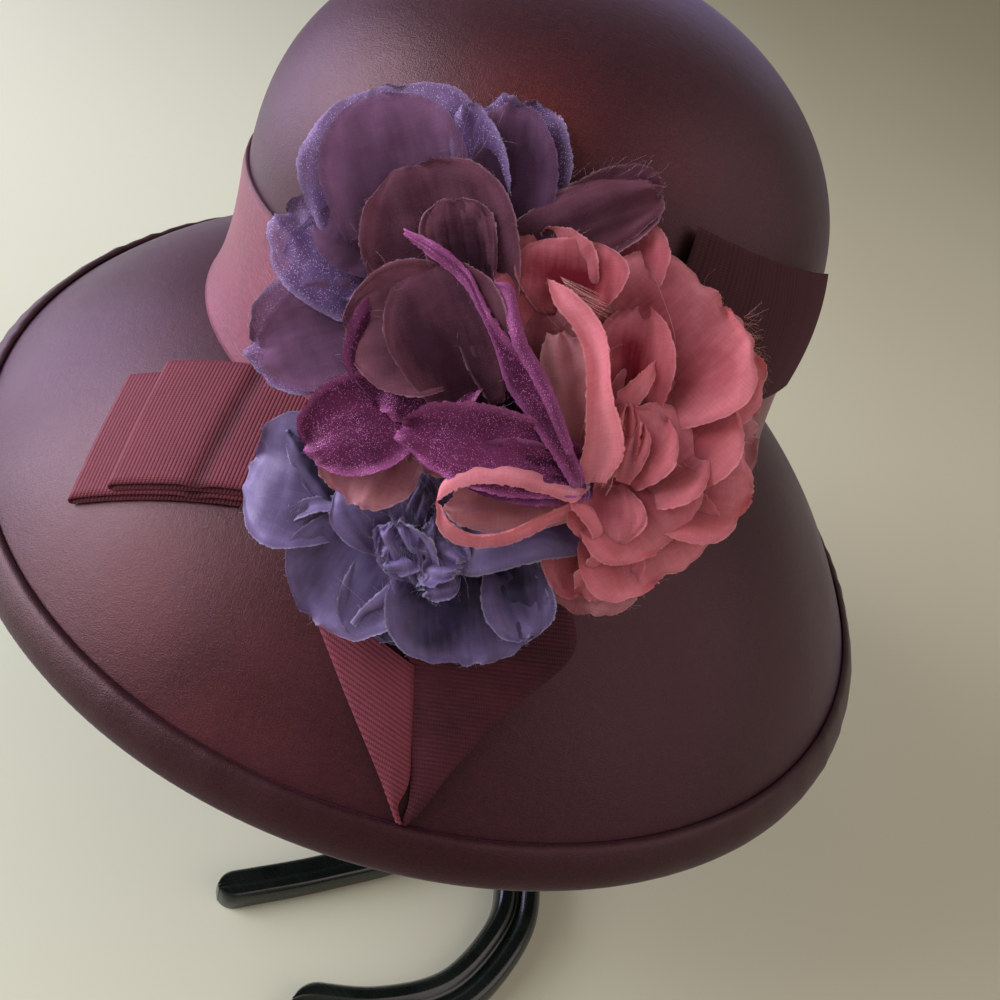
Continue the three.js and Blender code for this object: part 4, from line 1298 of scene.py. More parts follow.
def spread(cloth: Array, **values: Array | float) -> dict[str, Array]:
    """Values by name, each spread over the whole grid of a cloth."""
    return {name: np.broadcast_to(value, cloth.shape[:2]).astype(float) for name, value in values.items()}


# Each wave of a petal's uneven rim: how often it goes round, and its size
NOTCHES = ((2, 0.5), (3, 0.45), (5, 0.4), (8, 0.3), (13, 0.22), (21, 0.15))


@dataclass(frozen=True)
class Petal:
    """One cut petal, from its gathered base to its tip.

    base and tip are across and down in thousandths of the picture, and w in millimetres. width is in
    thousandths too, broad the share of the length where it is widest, neck the share of the width at its
    base. bow, ruffle, lean, curl and gather are in millimetres, arc and roll in degrees. waves are half
    waves across it, pleats a count. tone goes from dark 0 to pale 1; it is partly the cloth's own tone and
    partly painted light and shade, pale for petals that lie in light and dark for those in shade. fray
    counts loose threads against the usual, and jag is how uneven its cut edge is.
    """

    base: tuple[float, float, float]
    tip: tuple[float, float, float]
    width: float
    broad: float = 0.6
    bow: float = 3.0
    arc: float = 30.0
    roll: float = 0.0
    ruffle: float = 1.0
    waves: float = 3.0
    lean: float = 0.0
    curl: float = 0.0
    pleats: int = 0
    tone: float = 0.5
    fray: float = 1.0
    jag: float = 0.03
    gather: float = 0.45
    neck: float = 0.5

    def surface(self, seed: int, rows: int = 36, cols: int = 33) -> Surface:
        """The petal as a grid.

        point = base + axis s + side (h/a sin(a t) + lean sin(pi s)) + normal (bow sin(pi s)
        + h/a (1 - cos(a t)) + ruffle s^1.5 sin(waves (pi t / 2 + 1)) + curl e^1.5 + pleats), where h(s)
        is half the width, a half the arc, and e rises from 0 inside to 1 at the rim.

        Args:
            seed: picks the small unevenness.
            rows: grid steps along the petal.
            cols: grid steps across it.

        Returns:
            The surface, with its distance from the rim, its share of the length and its tone.
        """
        rng = np.random.default_rng(seed)
        base, tip = (CORSAGE.flat(*np.array(end)) for end in (self.base, self.tip))
        axis = tip - base
        length = float(np.linalg.norm(axis))
        along = axis / length
        flat_side = unit(np.cross(along, [0.0, 0, 1]))
        flat_normal = unit(np.cross(flat_side, along))
        turn = math.radians(self.roll)
        side = flat_side * math.cos(turn) + flat_normal * math.sin(turn)
        normal = unit(np.cross(side, along))
        s = np.sin(np.linspace(0, np.pi / 2, rows))[:, None]
        t = np.sin(np.linspace(-np.pi / 2, np.pi / 2, cols))[None]
        grow = self.neck + (1 - self.neck) * np.sin(np.pi / 2 * np.clip(s / self.broad, 0, 1))
        q = np.clip((s - self.broad) / (1 - self.broad), 0, 1)
        widest = self.width / 2 * (CORSAGE.distance - self.tip[2]) / 1000
        half = widest * np.where(s <= self.broad, grow, np.sqrt(1 - 0.985 * q * q))
        bearing = np.arctan2(t * half / widest, s - 0.45)
        rim = np.maximum(np.abs(t) * ease(s, 0.1, 0.5), s) ** 3
        notch = sum(size * np.sin(count * bearing + rng.uniform(0, 6)) for count, size in NOTCHES)
        wobble = 1 + self.jag * notch * rim
        angle = math.radians(max(abs(self.arc), 1) / 2)
        face = 1 if self.arc >= 0 else -1
        across = half * wobble / angle * np.sin(angle * t)
        cup = face * half / angle * (1 - np.cos(angle * t))
        rim_wave = self.ruffle * s**1.5 * np.sin(self.waves * np.pi * t / 2 + self.waves)
        tip_roll = self.curl * ease(rim * s, 0.3, 1.0) ** 1.5
        pleat = 0.35 * np.cos(self.pleats * np.pi * t) * (1 - 0.6 * s) if self.pleats else 0.0
        cloth = np.stack(np.broadcast_arrays(across, s * length), -1)
        crumple = 0.3 * ripple(seed, cloth, 9) + 0.09 * ripple(seed + 5, cloth, 3.2)
        fan = np.stack(np.broadcast_arrays(t * self.width * 0.25 * (0.5 + 0.5 * s), s * length * 0.16), -1)
        crumple = crumple + self.gather * ripple(seed + 9, fan, 5.0) * (1 - s) ** 0.6
        lean = self.lean * np.sin(np.pi * s)
        out = self.bow * np.sin(np.pi * s) + cup + rim_wave + tip_roll + pleat + crumple
        places = (base + axis * (s * wobble)[..., None] + side * (across + lean)[..., None]
                  + normal * out[..., None])
        edge = np.minimum((1 - np.abs(t)) * half, (1 - s) * length)
        return Surface(CORSAGE.world(places), cloth, tags=spread(cloth, rim=edge, depth=s, tone=self.tone))


@dataclass(frozen=True)
class Fold:
    """A folded or rolled length of cloth between two edges, each given by stations.

    Args:
        stations: rows of across and down in thousandths of the picture and w in millimetres of the first
            edge, the same of the second, and how far the cloth between them stands out in millimetres.
        tone, fray, pleats: as in a petal.
    """

    stations: tuple[tuple[float, ...], ...]
    tone: float = 0.5
    fray: float = 1.0
    pleats: int = 0

    def surface(self, seed: int, rows: int = 64, cols: int = 13) -> Surface:
        """The fold as a grid: smooth curves through both edges' stations, joined by bowed lines.

        Args:
            seed: picks the small unevenness.
            rows: steps along it.
            cols: steps across it.

        Returns:
            The surface.
        """
        table = np.array(self.stations, float)
        share = np.linspace(0, 1, rows)
        knots = np.hstack([CORSAGE.flat(*table[:, 0:3].T), CORSAGE.flat(*table[:, 3:6].T), table[:, 6:7]])
        read = curve_through(knots, share)
        one, two, bulge = read[:, None, 0:3], read[:, None, 3:6], read[:, None, 6:7]
        t = np.linspace(0, 1, cols)[None, :, None]
        run = np.gradient((one + two)[:, 0], axis=0)[:, None]
        normal = unit(np.cross(two - one, run))
        pleat = 0.3 * np.sin(self.pleats * 2 * np.pi * t) if self.pleats else 0.0
        places = lerp(one, two, t) + normal * (bulge * np.sin(np.pi * t) + pleat)
        places = places + normal * (0.18 * ripple(seed, places, 6))[..., None]
        width = np.linalg.norm(two - one, axis=-1)
        steps = np.linalg.norm(np.diff((one + two)[:, 0] / 2, axis=0), axis=1)
        length = np.concatenate([[0], np.cumsum(steps)])
        cloth = np.stack(np.broadcast_arrays(t[..., 0] * width, length[:, None]), -1)
        edge = np.minimum(np.minimum(t[..., 0], 1 - t[..., 0]) * width,
                          np.minimum(length, length[-1] - length)[:, None])
        return Surface(CORSAGE.world(places), cloth, tags=spread(cloth, rim=edge, depth=0.7, tone=self.tone))


@dataclass(frozen=True)
class Knot:
    """The gathered heart that holds a flower's petals: an egg of cloth, its long way out of the face.

    Args:
        middle: across and down in thousandths of the picture, and w in millimetres.
        radius: half its width in millimetres.
        depth: half its height along w in millimetres.
        tone: its tone, as in a petal.
        fray: how many threads leave it.
    """

    middle: tuple[float, float, float]
    radius: float
    depth: float
    tone: float = -0.3
    fray: float = 0.0

    def surface(self, seed: int, rows: int = 16, cols: int = 28) -> Surface:
        """The egg as a grid: middle + radius sin(a) (cos(b), sin(b)) + depth cos(a), slightly pleated.

        Args:
            seed: picks the pleats.
            rows: steps from end to end.
            cols: steps round it.

        Returns:
            The surface.
        """
        a = np.linspace(0.02, np.pi - 0.02, rows)[:, None]
        b = np.linspace(0, 2 * np.pi, cols, endpoint=False)[None]
        pleat = 1 + 0.05 * np.sin(9 * b + seed) * np.sin(a)
        reach = self.radius * pleat * np.sin(a)
        way = np.stack(np.broadcast_arrays(reach * np.cos(b), reach * np.sin(b), self.depth * np.cos(a)), -1)
        cloth = np.stack(np.broadcast_arrays(b * self.radius, a * self.depth), -1)
        places = CORSAGE.flat(*np.array(self.middle)) + way
        return Surface(CORSAGE.world(places), cloth, tags=spread(cloth, rim=9.0, depth=0.0, tone=self.tone))


@dataclass(frozen=True)
class Fringe:
    """A loose bundle of pulled threads between two short lines.

    Args:
        start, end: the two lines, each by two points given as across, down and w.
        count: how many threads.
        sag: how far they bow and curl, in millimetres.
    """

    start: tuple[tuple[float, float, float], tuple[float, float, float]]
    end: tuple[tuple[float, float, float], tuple[float, float, float]]
    count: int
    sag: float = 1.0

    def strands(self, seed: int) -> Array:
        """The threads: straight lines bowed by the sag, each with its own small curl.

        Args:
            seed: picks their places.

        Returns:
            (count, 6, 3) points.
        """
        rng = np.random.default_rng(seed)
        ends = np.array([[CORSAGE.flat(*np.array(p)) for p in pair] for pair in (self.start, self.end)])
        share = np.sort(rng.random((self.count, 1)), axis=0)
        one = lerp(ends[0, 0], ends[0, 1], share)
        two = lerp(ends[1, 0], ends[1, 1], share + rng.normal(size=share.shape) * 0.15)
        step = np.linspace(0, 1, 6)[None, :, None]
        reach = rng.uniform(0.6, 1.15, (self.count, 1, 1))
        curl = rng.normal(size=(self.count, 1, 3)) * self.sag
        places = lerp(one[:, None], two[:, None], step * reach) + curl * np.sin(np.pi * step * 0.8)
        return CORSAGE.world(places)


def rim_strands(surface: Surface, count: int, length: float, seed: int, open_base: bool) -> Array:
    """Lines of frayed threads that leave a surface's rim.

    Args:
        surface: the petal or fold.
        count: how many threads.
        length: their usual length in millimetres.
        seed: picks their places and curls.
        open_base: leave the base row without threads.

    Returns:
        (count, 6, 3) points.
    """
    rng = np.random.default_rng(seed)
    p = surface.points
    rows = len(p)
    first = int(rows * 0.35) if open_base else 1
    rim = np.concatenate([p[first:, 0], p[-1, 1:], p[first:-1, -1][::-1]])
    inner = np.concatenate([p[first:, 2], p[-3, 1:], p[first:-1, -3][::-1]])
    gaps = np.linalg.norm(np.diff(rim, axis=0), axis=1)
    place = np.concatenate([[0], np.cumsum(gaps)])
    pick = np.interp(rng.uniform(0, place[-1], count), place, np.arange(len(rim)))
    low = np.minimum(pick.astype(int), len(rim) - 2)
    share = (pick - low)[:, None]
    start = lerp(rim[low], rim[low + 1], share)
    out = unit(start - lerp(inner[low], inner[low + 1], share))
    skew = rng.normal(size=(count, 3)) * 0.9
    heading = unit(out + skew)
    curl = np.cross(heading, rng.normal(size=(count, 3)))
    reach = length * rng.gamma(1.2, 0.6, (count, 1)) * np.where(rng.random((count, 1)) < 0.04, 5, 1)
    step = np.linspace(0, 1, 6)[None, :, None]
    way = heading[:, None] * step + 0.7 * curl[:, None] * step**2
    return start[:, None] - out[:, None] * 0.3 + reach[:, None] * way


@dataclass
class Flower:
    """One flower.

    Args:
        node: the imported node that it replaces.
        thread: the finish of its frayed threads.
        layers: its petals, folds and knot by cloth.
        fringes: bundles of threads pulled out of its edges.
        wall: thickness of its cloth in millimetres.
        threads_per_mm: how many frayed threads leave a millimetre of rim where fray is 1.
        thread_length: their usual length in millimetres.
        thread_radius: the least and the greatest radius of a thread in millimetres.
        widest: the widest cut of cloth in metres.
        used: share of that cut that ends up in the petals.
    """

    node: str
    thread: Cloth
    layers: dict[Cloth, list[Petal | Fold | Knot]]
    fringes: tuple[Fringe, ...] = ()
    wall: float = 0.22
    threads_per_mm: float = 0.5
    thread_length: float = 0.75
    thread_radius: tuple[float, float] = (0.018, 0.036)
    widest: float = 0.15
    # used: share of that cut that ends up in the petals; not used.
    used: float = 0.8

    def build(self, wardrobe: Wardrobe, seed: int) -> None:
        """Builds one joined piece for each cloth, and one for the threads.

        Args:
            wardrobe: dresses the pieces.
            seed: picks the small unevenness.
        """
        lines = []
        for cloth, parts in self.layers.items():
            surfaces = [part.surface(seed + 17 * k) for k, part in enumerate(parts)]
            piece = build_mesh(f"{self.node}_{cloth.label}", surfaces)
            thicken(piece, self.wall)
            area = sum(float(cloth_area(s)) for s in surfaces) * MM * MM
            width = min(self.widest, math.sqrt(area))
            wardrobe.dress(piece, cloth, (self.node,))
            for k, (part, surface) in enumerate(zip(parts, surfaces)):
                edge = np.linalg.norm(np.diff(surface.points[:, 0], axis=0), axis=1).sum() * 2
                count = int(edge * self.threads_per_mm * part.fray)
                if count:
                    open_base = isinstance(part, Petal)
                    lines.append(rim_strands(surface, count, self.thread_length, seed + k, open_base))
        lines += [fringe.strands(seed + 50 + k) for k, fringe in enumerate(self.fringes)]
        threads = np.concatenate(lines)
        radius = np.random.default_rng(seed).uniform(*self.thread_radius, len(threads))
        wardrobe.dress(strand_mesh(f"{self.node}_threads", threads, radius), self.thread, (self.node,))


def cloth_area(surface: Surface) -> float:
    """Area of a surface in square millimetres."""
    p = surface.points
    one = np.cross(p[1:, :-1] - p[:-1, :-1], p[:-1, 1:] - p[:-1, :-1])
    two = np.cross(p[1:, :-1] - p[1:, 1:], p[:-1, 1:] - p[1:, 1:])
    return (np.linalg.norm(one, axis=-1).sum() + np.linalg.norm(two, axis=-1).sum()) / 2


# Settings that several petals share
CUPPED = {"neck": 0.7, "jag": 0.015}
LINING = {"ruffle": 0.3, "fray": 0.1, "gather": 0.1, "jag": 0.01}
CRUMPLED = {"fray": 4, "jag": 0.08}
HIDDEN = {"fray": 0.1}

# The tones in these tables are partly painted light and shade: lit petals and folds are given paler tones,
# shaded and hidden ones darker
PURPLE = Flower("flower_purple", Cloth.PURPLE_THREAD, {
    Cloth.VEIL: [
        Petal((432, 300, -6), (375, 84, 1), 194, 0.62, 5, 30, ruffle=0.7, curl=-2, tone=1.0, jag=0.02),
        Petal((496, 226, 1), (464, 104, 7), 60, 0.5, 2, 70, tone=1.0, fray=1.5),
        Petal((490, 290, -4), (520, 97, 2), 128, 0.6, 3, 25, tone=0.2, fray=1.6),
        Petal((440, 320, -5), (280, 214, -1), 130, 0.66, 4, 30, tone=0.9),
        Petal((420, 250, -6), (290, 262, -2), 100, 0.6, 4, 30, tone=1.0),
        Petal((425, 315, -8), (250, 350, -7), 128, 0.64, 4, 30, tone=0.8, fray=2.5),
    ],
    Cloth.DUSK: [
        Petal((430, 300, -3), (374, 94, 5.5), 150, 0.64, 4, 24, tone=0.8, **LINING),
        Petal((500, 290, -2), (512, 104, 6), 104, 0.62, 3, 20, ruffle=0.4, tone=0.0, fray=0.2, gather=0.2,
              jag=0.02),
        Petal((425, 268, 0), (314, 222, 4.5), 76, 0.62, 2, 24, tone=0.2, **LINING),
        Petal((432, 316, -4), (260, 354, -1), 112, 0.62, 3, 28, ruffle=0.4, tone=0.8, fray=0.3, gather=0.2,
              jag=0.02),
        Petal((440, 300, -6), (350, 290, -2), 100, 0.6, 3, 20, tone=0.0, **HIDDEN),
    ],
    Cloth.PLUM: [
        Petal((490, 250, 0), (664, 180, 2), 84, 0.6, 3, 40, lean=3.5, tone=-0.3, fray=1.4),
        Petal((492, 262, 4), (662, 190, 5), 78, 0.6, 3, -50, tone=0.2, fray=1.4),
        Petal((478, 352, 2), (412, 164, 7.5), 160, 0.62, 4, 40, ruffle=0.6, tone=0.15, fray=1.2, jag=0.015),
        Petal((472, 310, 5), (452, 199, 9.5), 80, 0.75, 2, 36, ruffle=0.4, pleats=11, tone=0.0, gather=0.8,
              jag=0.015),
        Petal((480, 330, 6), (345, 334, 10), 142, 0.5, 4, 36, ruffle=0.6, pleats=13, tone=0.75, jag=0.015),
        Petal((476, 412, 9), (424, 266, 13), 126, 0.62, 4, 34, ruffle=0.5, tone=0.05, jag=0.015, gather=0.25),
        Petal((500, 402, 9), (459, 290, 13.5), 44, 0.5, 2, 60, tone=0.0, jag=0.01),
        Petal((500, 420, -2), (480, 290, 2), 120, 0.6, 2, 20, tone=-0.5, **HIDDEN),
        Petal((520, 400, -3), (520, 240, 1), 120, 0.6, 2, 20, tone=-0.5, **HIDDEN),
        Knot((469, 322, -9), 12, 18),
        Petal((450, 330, -16), (300, 320, -20), 150, tone=-0.2, **HIDDEN),
        Petal((470, 320, -12), (400, 130, -10), 170, tone=-0.2, **HIDDEN),
        Petal((470, 330, -14), (560, 130, -8), 130, tone=-0.2, **HIDDEN),
        Petal((470, 380, -14), (380, 420, -18), 150, tone=-0.2, **HIDDEN),
    ],
    Cloth.MAGENTA: [
        Petal((468, 290, 2), (380, 414, 8), 148, 0.55, 4, 36, pleats=14, tone=0.0),
        Petal((440, 392, 2), (304, 450, 7), 106, 0.62, 4, 40, tone=0.3),
        Petal((590, 476, 4), (398, 428, 11), 92, 0.5, 4, 70, tone=0.45, gather=0.7),
        Petal((594, 484, 3), (452, 462, 9.5), 70, 0.55, 3, 50, tone=-0.2),
        Fold(((404, 228, 13, 406, 238, 13, 0.6), (438, 243, 16, 430, 258, 15, 1.0),
              (469, 270, 16, 461, 284, 16, 1.2), (484, 298, 17, 479, 313, 16, 1.6),
              (503, 328, 17, 494, 346, 15, 2.4), (526, 354, 16, 506, 386, 13, 3.0),
              (547, 383, 14, 528, 420, 12, 3.0), (563, 425, 11, 551, 455, 10, 2.4),
              (588, 482, 6, 572, 490, 7, 0.6)),
             tone=0.2, pleats=2),
        Fold(((496, 282, 16, 492, 288, 16, 0.4), (513, 286, 17, 503, 296, 17, 0.8),
              (521, 318, 16.5, 506, 322, 17, 1.2), (530, 346, 16.5, 513, 352, 17, 1.4),
              (547, 374, 16, 532, 384, 16, 1.4), (562, 412, 14, 549, 422, 14, 1.2),
              (575, 452, 11, 563, 458, 11, 0.6)), tone=0.4, pleats=1),
    ],
    Cloth.PALE: [
        Petal((402, 400, -5), (352, 506, 1), 104, tone=0.0, fray=0.6),
        Petal((455, 415, -3), (424, 474, 0), 76, 0.6, 2, 30, tone=-0.1, fray=0.5),
    ],
}, (Fringe(((262, 300, 0), (292, 272, 0)), ((252, 280, 0), (278, 254, 1)), 22, 0.5),
    Fringe(((560, 184, 3), (640, 182, 3)), ((580, 158, 6), (668, 160, 6)), 14, 1.0),
    Fringe(((455, 180, 8), (500, 130, 8)), ((470, 95, 9), (520, 88, 9)), 10, 1.5),
    Fringe(((572, 470, 8), (588, 482, 8)), ((568, 498, 10), (592, 500, 9)), 12, 0.5)))

PINK = Flower("flower_pink", Cloth.PINK_THREAD, {
    Cloth.CORAL: [
        Petal((590, 340, -3), (608, 203, 1), 132, 0.66, 3, 30, ruffle=0.8, tone=0.0),
        Petal((560, 335, 2), (533, 231, 6), 108, 0.6, 3, 46, tone=-0.1),
        Petal((566, 316, 5), (574, 238, 8.5), 116, 0.62, 2, 24, ruffle=0.6, tone=-0.35, fray=0.6, gather=0.2,
              jag=0.01),
        # painted light: the outer right petals get their pale tones because they lie in light
        Petal((606, 400, -6), (722, 296, -2), 190, 0.6, 6, 44, ruffle=1.6, curl=-2.5, tone=0.55, fray=1.4),
        Petal((625, 400, -8), (759, 346, -6), 134, 0.6, 4, 35, ruffle=1.4, curl=-2, tone=0.75, fray=3.0),
        Petal((616, 430, -3), (640, 306, 3), 92, 0.55, 4, 60, tone=-0.1, **CUPPED),
        Petal((628, 470, -8), (712, 376, -3), 150, 0.55, 6, 50, curl=-2, tone=0.35, **CUPPED),
        Petal((622, 478, -4), (700, 432, 0), 112, 0.55, 5, 56, curl=-2, tone=0.3, **CUPPED),
        Petal((616, 474, 0), (662, 414, 5), 84, 0.55, 4, 66, curl=-1.5, tone=0.15, **CUPPED),
        Petal((614, 476, 2), (606, 394, 7), 30, 0.6, 2, 80, ruffle=1.8, waves=5, tone=0.0),
        Petal((620, 478, 3), (628, 402, 8), 32, 0.6, 2, 80, ruffle=1.8, waves=5, tone=0.2),
        Petal((622, 482, 3), (642, 424, 7), 34, 0.6, 2, 80, ruffle=1.6, waves=4, tone=0.4),
        Petal((600, 488, 0), (592, 380, 5), 40, 0.6, 2, 60, tone=-0.2, fray=0.3),
        Petal((620, 470, -9), (750, 488, -8), 132, 0.62, 4, 40, ruffle=1.3, tone=0.5),
        Petal((612, 486, -10), (668, 580, -11), 152, 0.62, 4, 40, ruffle=1.3, tone=0.5),
        Petal((612, 476, -5), (664, 548, -4), 136, 0.55, 5, 50, curl=-2, tone=0.4, **CUPPED),
        Petal((604, 486, -2), (606, 546, 0), 84, 0.6, 3, 44, tone=0.2, fray=0.3),
        Petal((600, 490, -9), (586, 602, -13), 104, tone=0.1),
        Petal((590, 420, -16), (712, 440, -20), 220, 0.6, 2, 20, tone=-0.2, **HIDDEN),
        Petal((600, 420, -15), (650, 572, -18), 190, 0.6, 2, 20, tone=-0.2, **HIDDEN),
        Petal((600, 430, -12), (640, 262, -12), 180, 0.6, 2, 20, tone=-0.3, **HIDDEN),
        Knot((636, 463, -22), 10, 14),
        Petal((620, 430, -24), (736, 330, -34), 150, tone=0.0, fray=0.3),
        Petal((620, 440, -26), (744, 420, -44), 150, tone=-0.1, fray=0.3),
        Petal((620, 450, -26), (720, 520, -46), 150, tone=0.0, fray=0.3),
        Petal((610, 460, -24), (640, 580, -40), 140, tone=-0.1, fray=0.3),
        Petal((600, 430, -20), (640, 260, -20), 150, tone=-0.2, fray=0.3),
        Fold(((612, 424, 4, 617, 392, 6, 0.6), (630, 414, 6, 632, 380, 8, 1.2),
              (648, 394, 7, 648, 366, 8, 1.2), (662, 364, 4, 659, 358, 4, 0.3)), tone=0.95),
        # painted highlight: this rolled fold is given a tone past pale so that it shows as the brightest lit
        # part
        Fold(((546, 276, 9, 550, 278, 9, 0.4), (553, 303, 12, 576, 293, 13, 1.6),
              (573, 330, 13, 600, 320, 14, 2.2), (584, 361, 14, 609, 346, 15, 2.4),
              (585, 408, 13, 613, 392, 15, 2.4), (584, 440, 11, 623, 430, 13, 2.4),
              (579, 466, 8, 624, 458, 10, 2.0), (578, 486, 5, 606, 484, 6, 0.8)), tone=1.5, fray=1.6),
        Fold(((436, 506, 13, 440, 500, 14, 0.6), (446, 479, 10, 458, 490, 15, 1.8),
              (480, 465, 8, 480, 485, 15, 2.2), (520, 467, 6, 512, 487, 14, 2.2),
              (560, 475, 2, 545, 496, 11, 1.8), (600, 479, -2, 576, 504, 8, 1.2)), tone=0.8),
        Fold(((436, 504, 13, 440, 502, 12, 0.5), (438, 530, 10, 452, 524, 14, 1.2),
              (465, 548, 8, 478, 536, 14, 1.6), (510, 545, 6, 512, 531, 13, 1.6),
              (545, 529, 4, 542, 515, 11, 1.2), (577, 513, 2, 573, 503, 8, 0.8)), tone=0.45),
        Fold(((562, 500, 4, 572, 509, 8, 0.6), (587, 504, 2, 580, 519, 6, 1.0),
              (606, 530, -2, 592, 538, 3, 1.2), (604, 562, -6, 590, 556, -2, 1.0),
              (574, 590, -10, 573, 574, -6, 0.6)), tone=0.6),
    ],
    Cloth.PALE: [
        Petal((588, 488, 0), (560, 330, 10), 64, 0.6, 3, 56, tone=0.35, gather=0.2),
        Petal((562, 410, 0), (530, 284, 5), 66, 0.6, 2, 40, tone=-0.6, gather=0.2),
        Petal((578, 506, 0), (444, 507, 7), 58, 0.5, -3, -30, tone=0.6, fray=0.2, gather=0.2),
        Petal((650, 440, -14), (757, 430, -16), 116, 0.62, 3, 30, ruffle=1.2, tone=0.1),
        Petal((600, 540, -14), (590, 616, -15), 92, 0.6, 2, 25, ruffle=1.2, tone=0.0, fray=1.6),
    ],
}, (Fringe(((560, 276, 11), (574, 300, 12)), ((602, 296, 15), (614, 322, 15)), 34, 0.3),
    Fringe(((744, 316, -6), (748, 372, -6)), ((764, 310, -6), (770, 384, -6)), 40, 0.6),
    Fringe(((596, 470, 8), (616, 470, 8)), ((590, 492, 9), (606, 494, 9)), 14, 0.6)))

BLUE = Flower("flower_blue", Cloth.BLUE_THREAD, {
    Cloth.BLUE: [
        Petal((420, 480, -22), (440, 630, -24), 200, 0.6, 2, 20, tone=-0.4, **HIDDEN),
        Petal((440, 520, -22), (290, 500, -25), 180, 0.6, 2, 20, tone=-0.4, **HIDDEN),
        Knot((427, 544, -25), 11, 20),
        Petal((420, 520, -30), (300, 470, -36), 150, tone=-0.2, fray=0.2),
        Petal((420, 540, -30), (330, 600, -34), 150, tone=-0.2, fray=0.2),
        Petal((440, 550, -30), (460, 640, -36), 160, tone=-0.2, fray=0.2),
        Petal((450, 540, -28), (550, 590, -34), 120, tone=-0.2, fray=0.2),
        # painted highlight: the left lobe's pale tone paints its satin highlight
        Petal((362, 506, -19), (250, 462, -17), 140, 0.62, 5, 50, tone=0.9, gather=0.3),
        Petal((372, 530, -15), (290, 430, -12), 56, 0.55, 2, -60, tone=-0.3, fray=0.3),
        Petal((400, 545, -15), (350, 474, -9), 92, 0.6, 3, 50, tone=0.8),
        Petal((440, 545, -14), (432, 466, -8), 96, 0.6, 3, 60, tone=0.45),
        Petal((392, 520, -20), (316, 622, -17), 138, 0.62, 4, 40, tone=0.65, gather=0.3),
        Petal((372, 556, -17), (359, 635, -16), 54, 0.6, 2, 50, tone=0.5),
        Petal((462, 530, -19), (476, 665, -15), 172, 0.6, 4, 40, tone=0.15, fray=1.6),
        Petal((500, 560, -15), (528, 640, -12), 70, 0.6, 2, 40, tone=0.4),
        Fold(((440, 532, -11, 440, 563, -11, 1.2), (478, 523, -8, 469, 577, -7, 2.6),
              (517, 518, -6, 505, 571, -3, 3.2), (550, 515, -6, 540, 562, -3, 2.6),
              (576, 528, -6, 566, 558, -5, 1.6), (592, 548, -7, 591, 553, -7, 0.4)), tone=0.5),
        Fold(((266, 531, -14, 268, 525, -14, 0.3), (290, 523, -12, 284, 511, -12, 1.0),
              (318, 513, -11, 308, 497, -12, 1.0), (345, 513, -11, 338, 496, -12, 0.8),
              (370, 521, -11, 366, 505, -12, 0.6)), tone=2.0, fray=4),
        Fold(((350, 622, -14, 356, 628, -14, 0.3), (362, 606, -12, 368, 613, -14, 0.8),
              (380, 591, -11, 392, 604, -13, 1.0), (398, 574, -12, 410, 590, -14, 0.8)), tone=2.0, fray=4),
        Petal((430, 578, -12), (392, 518, -5), 66, 0.5, 2, 80, 20, ruffle=2.2, waves=6, tone=1.1, **CRUMPLED),
        Petal((442, 578, -12), (440, 516, -5), 60, 0.5, 2, 80, -10, ruffle=2.2, waves=6, tone=1.3,
              **CRUMPLED),
        Petal((420, 556, -11), (462, 568, -5), 56, 0.5, 2, 80, ruffle=2.0, waves=5, tone=1.2, **CRUMPLED),
        Petal((425, 540, -12), (380, 562, -7), 56, 0.5, 2, 80, ruffle=2.0, waves=5, tone=1.3, **CRUMPLED),
        Petal((405, 540, -12), (425, 486, -6), 30, 0.5, 2, 60, ruffle=1.4, waves=5, tone=1.0, fray=6,
              jag=0.08),
        Petal((455, 570, -12), (420, 590, -7), 50, 0.5, 2, 70, ruffle=1.8, waves=5, tone=0.6, **CRUMPLED),
    ],
}, (Fringe(((380, 540, -6), (440, 560, -5)), ((400, 580, -3), (462, 600, -4)), 26, 3.0),
    Fringe(((400, 500, -5), (452, 520, -4)), ((410, 540, -3), (470, 550, -3)), 34, 2.0),
    Fringe(((400, 470, -6), (440, 478, -6)), ((424, 500, -4), (452, 512, -4)), 30, 1.0),
    Fringe(((268, 528, -13), (300, 516, -12)), ((262, 512, -11), (318, 500, -11)), 26, 1.2)))


# The stand


@dataclass(frozen=True)
class StandBar:
    """One bowed bar, in millimetres.

    Args:
        width, height: of its section.
        groove: depth of the groove along its top.
        line: its middle line in plan, from the hub outwards.
    """

    width: float
    height: float
    groove: float
    line: tuple[tuple[float, float], ...]


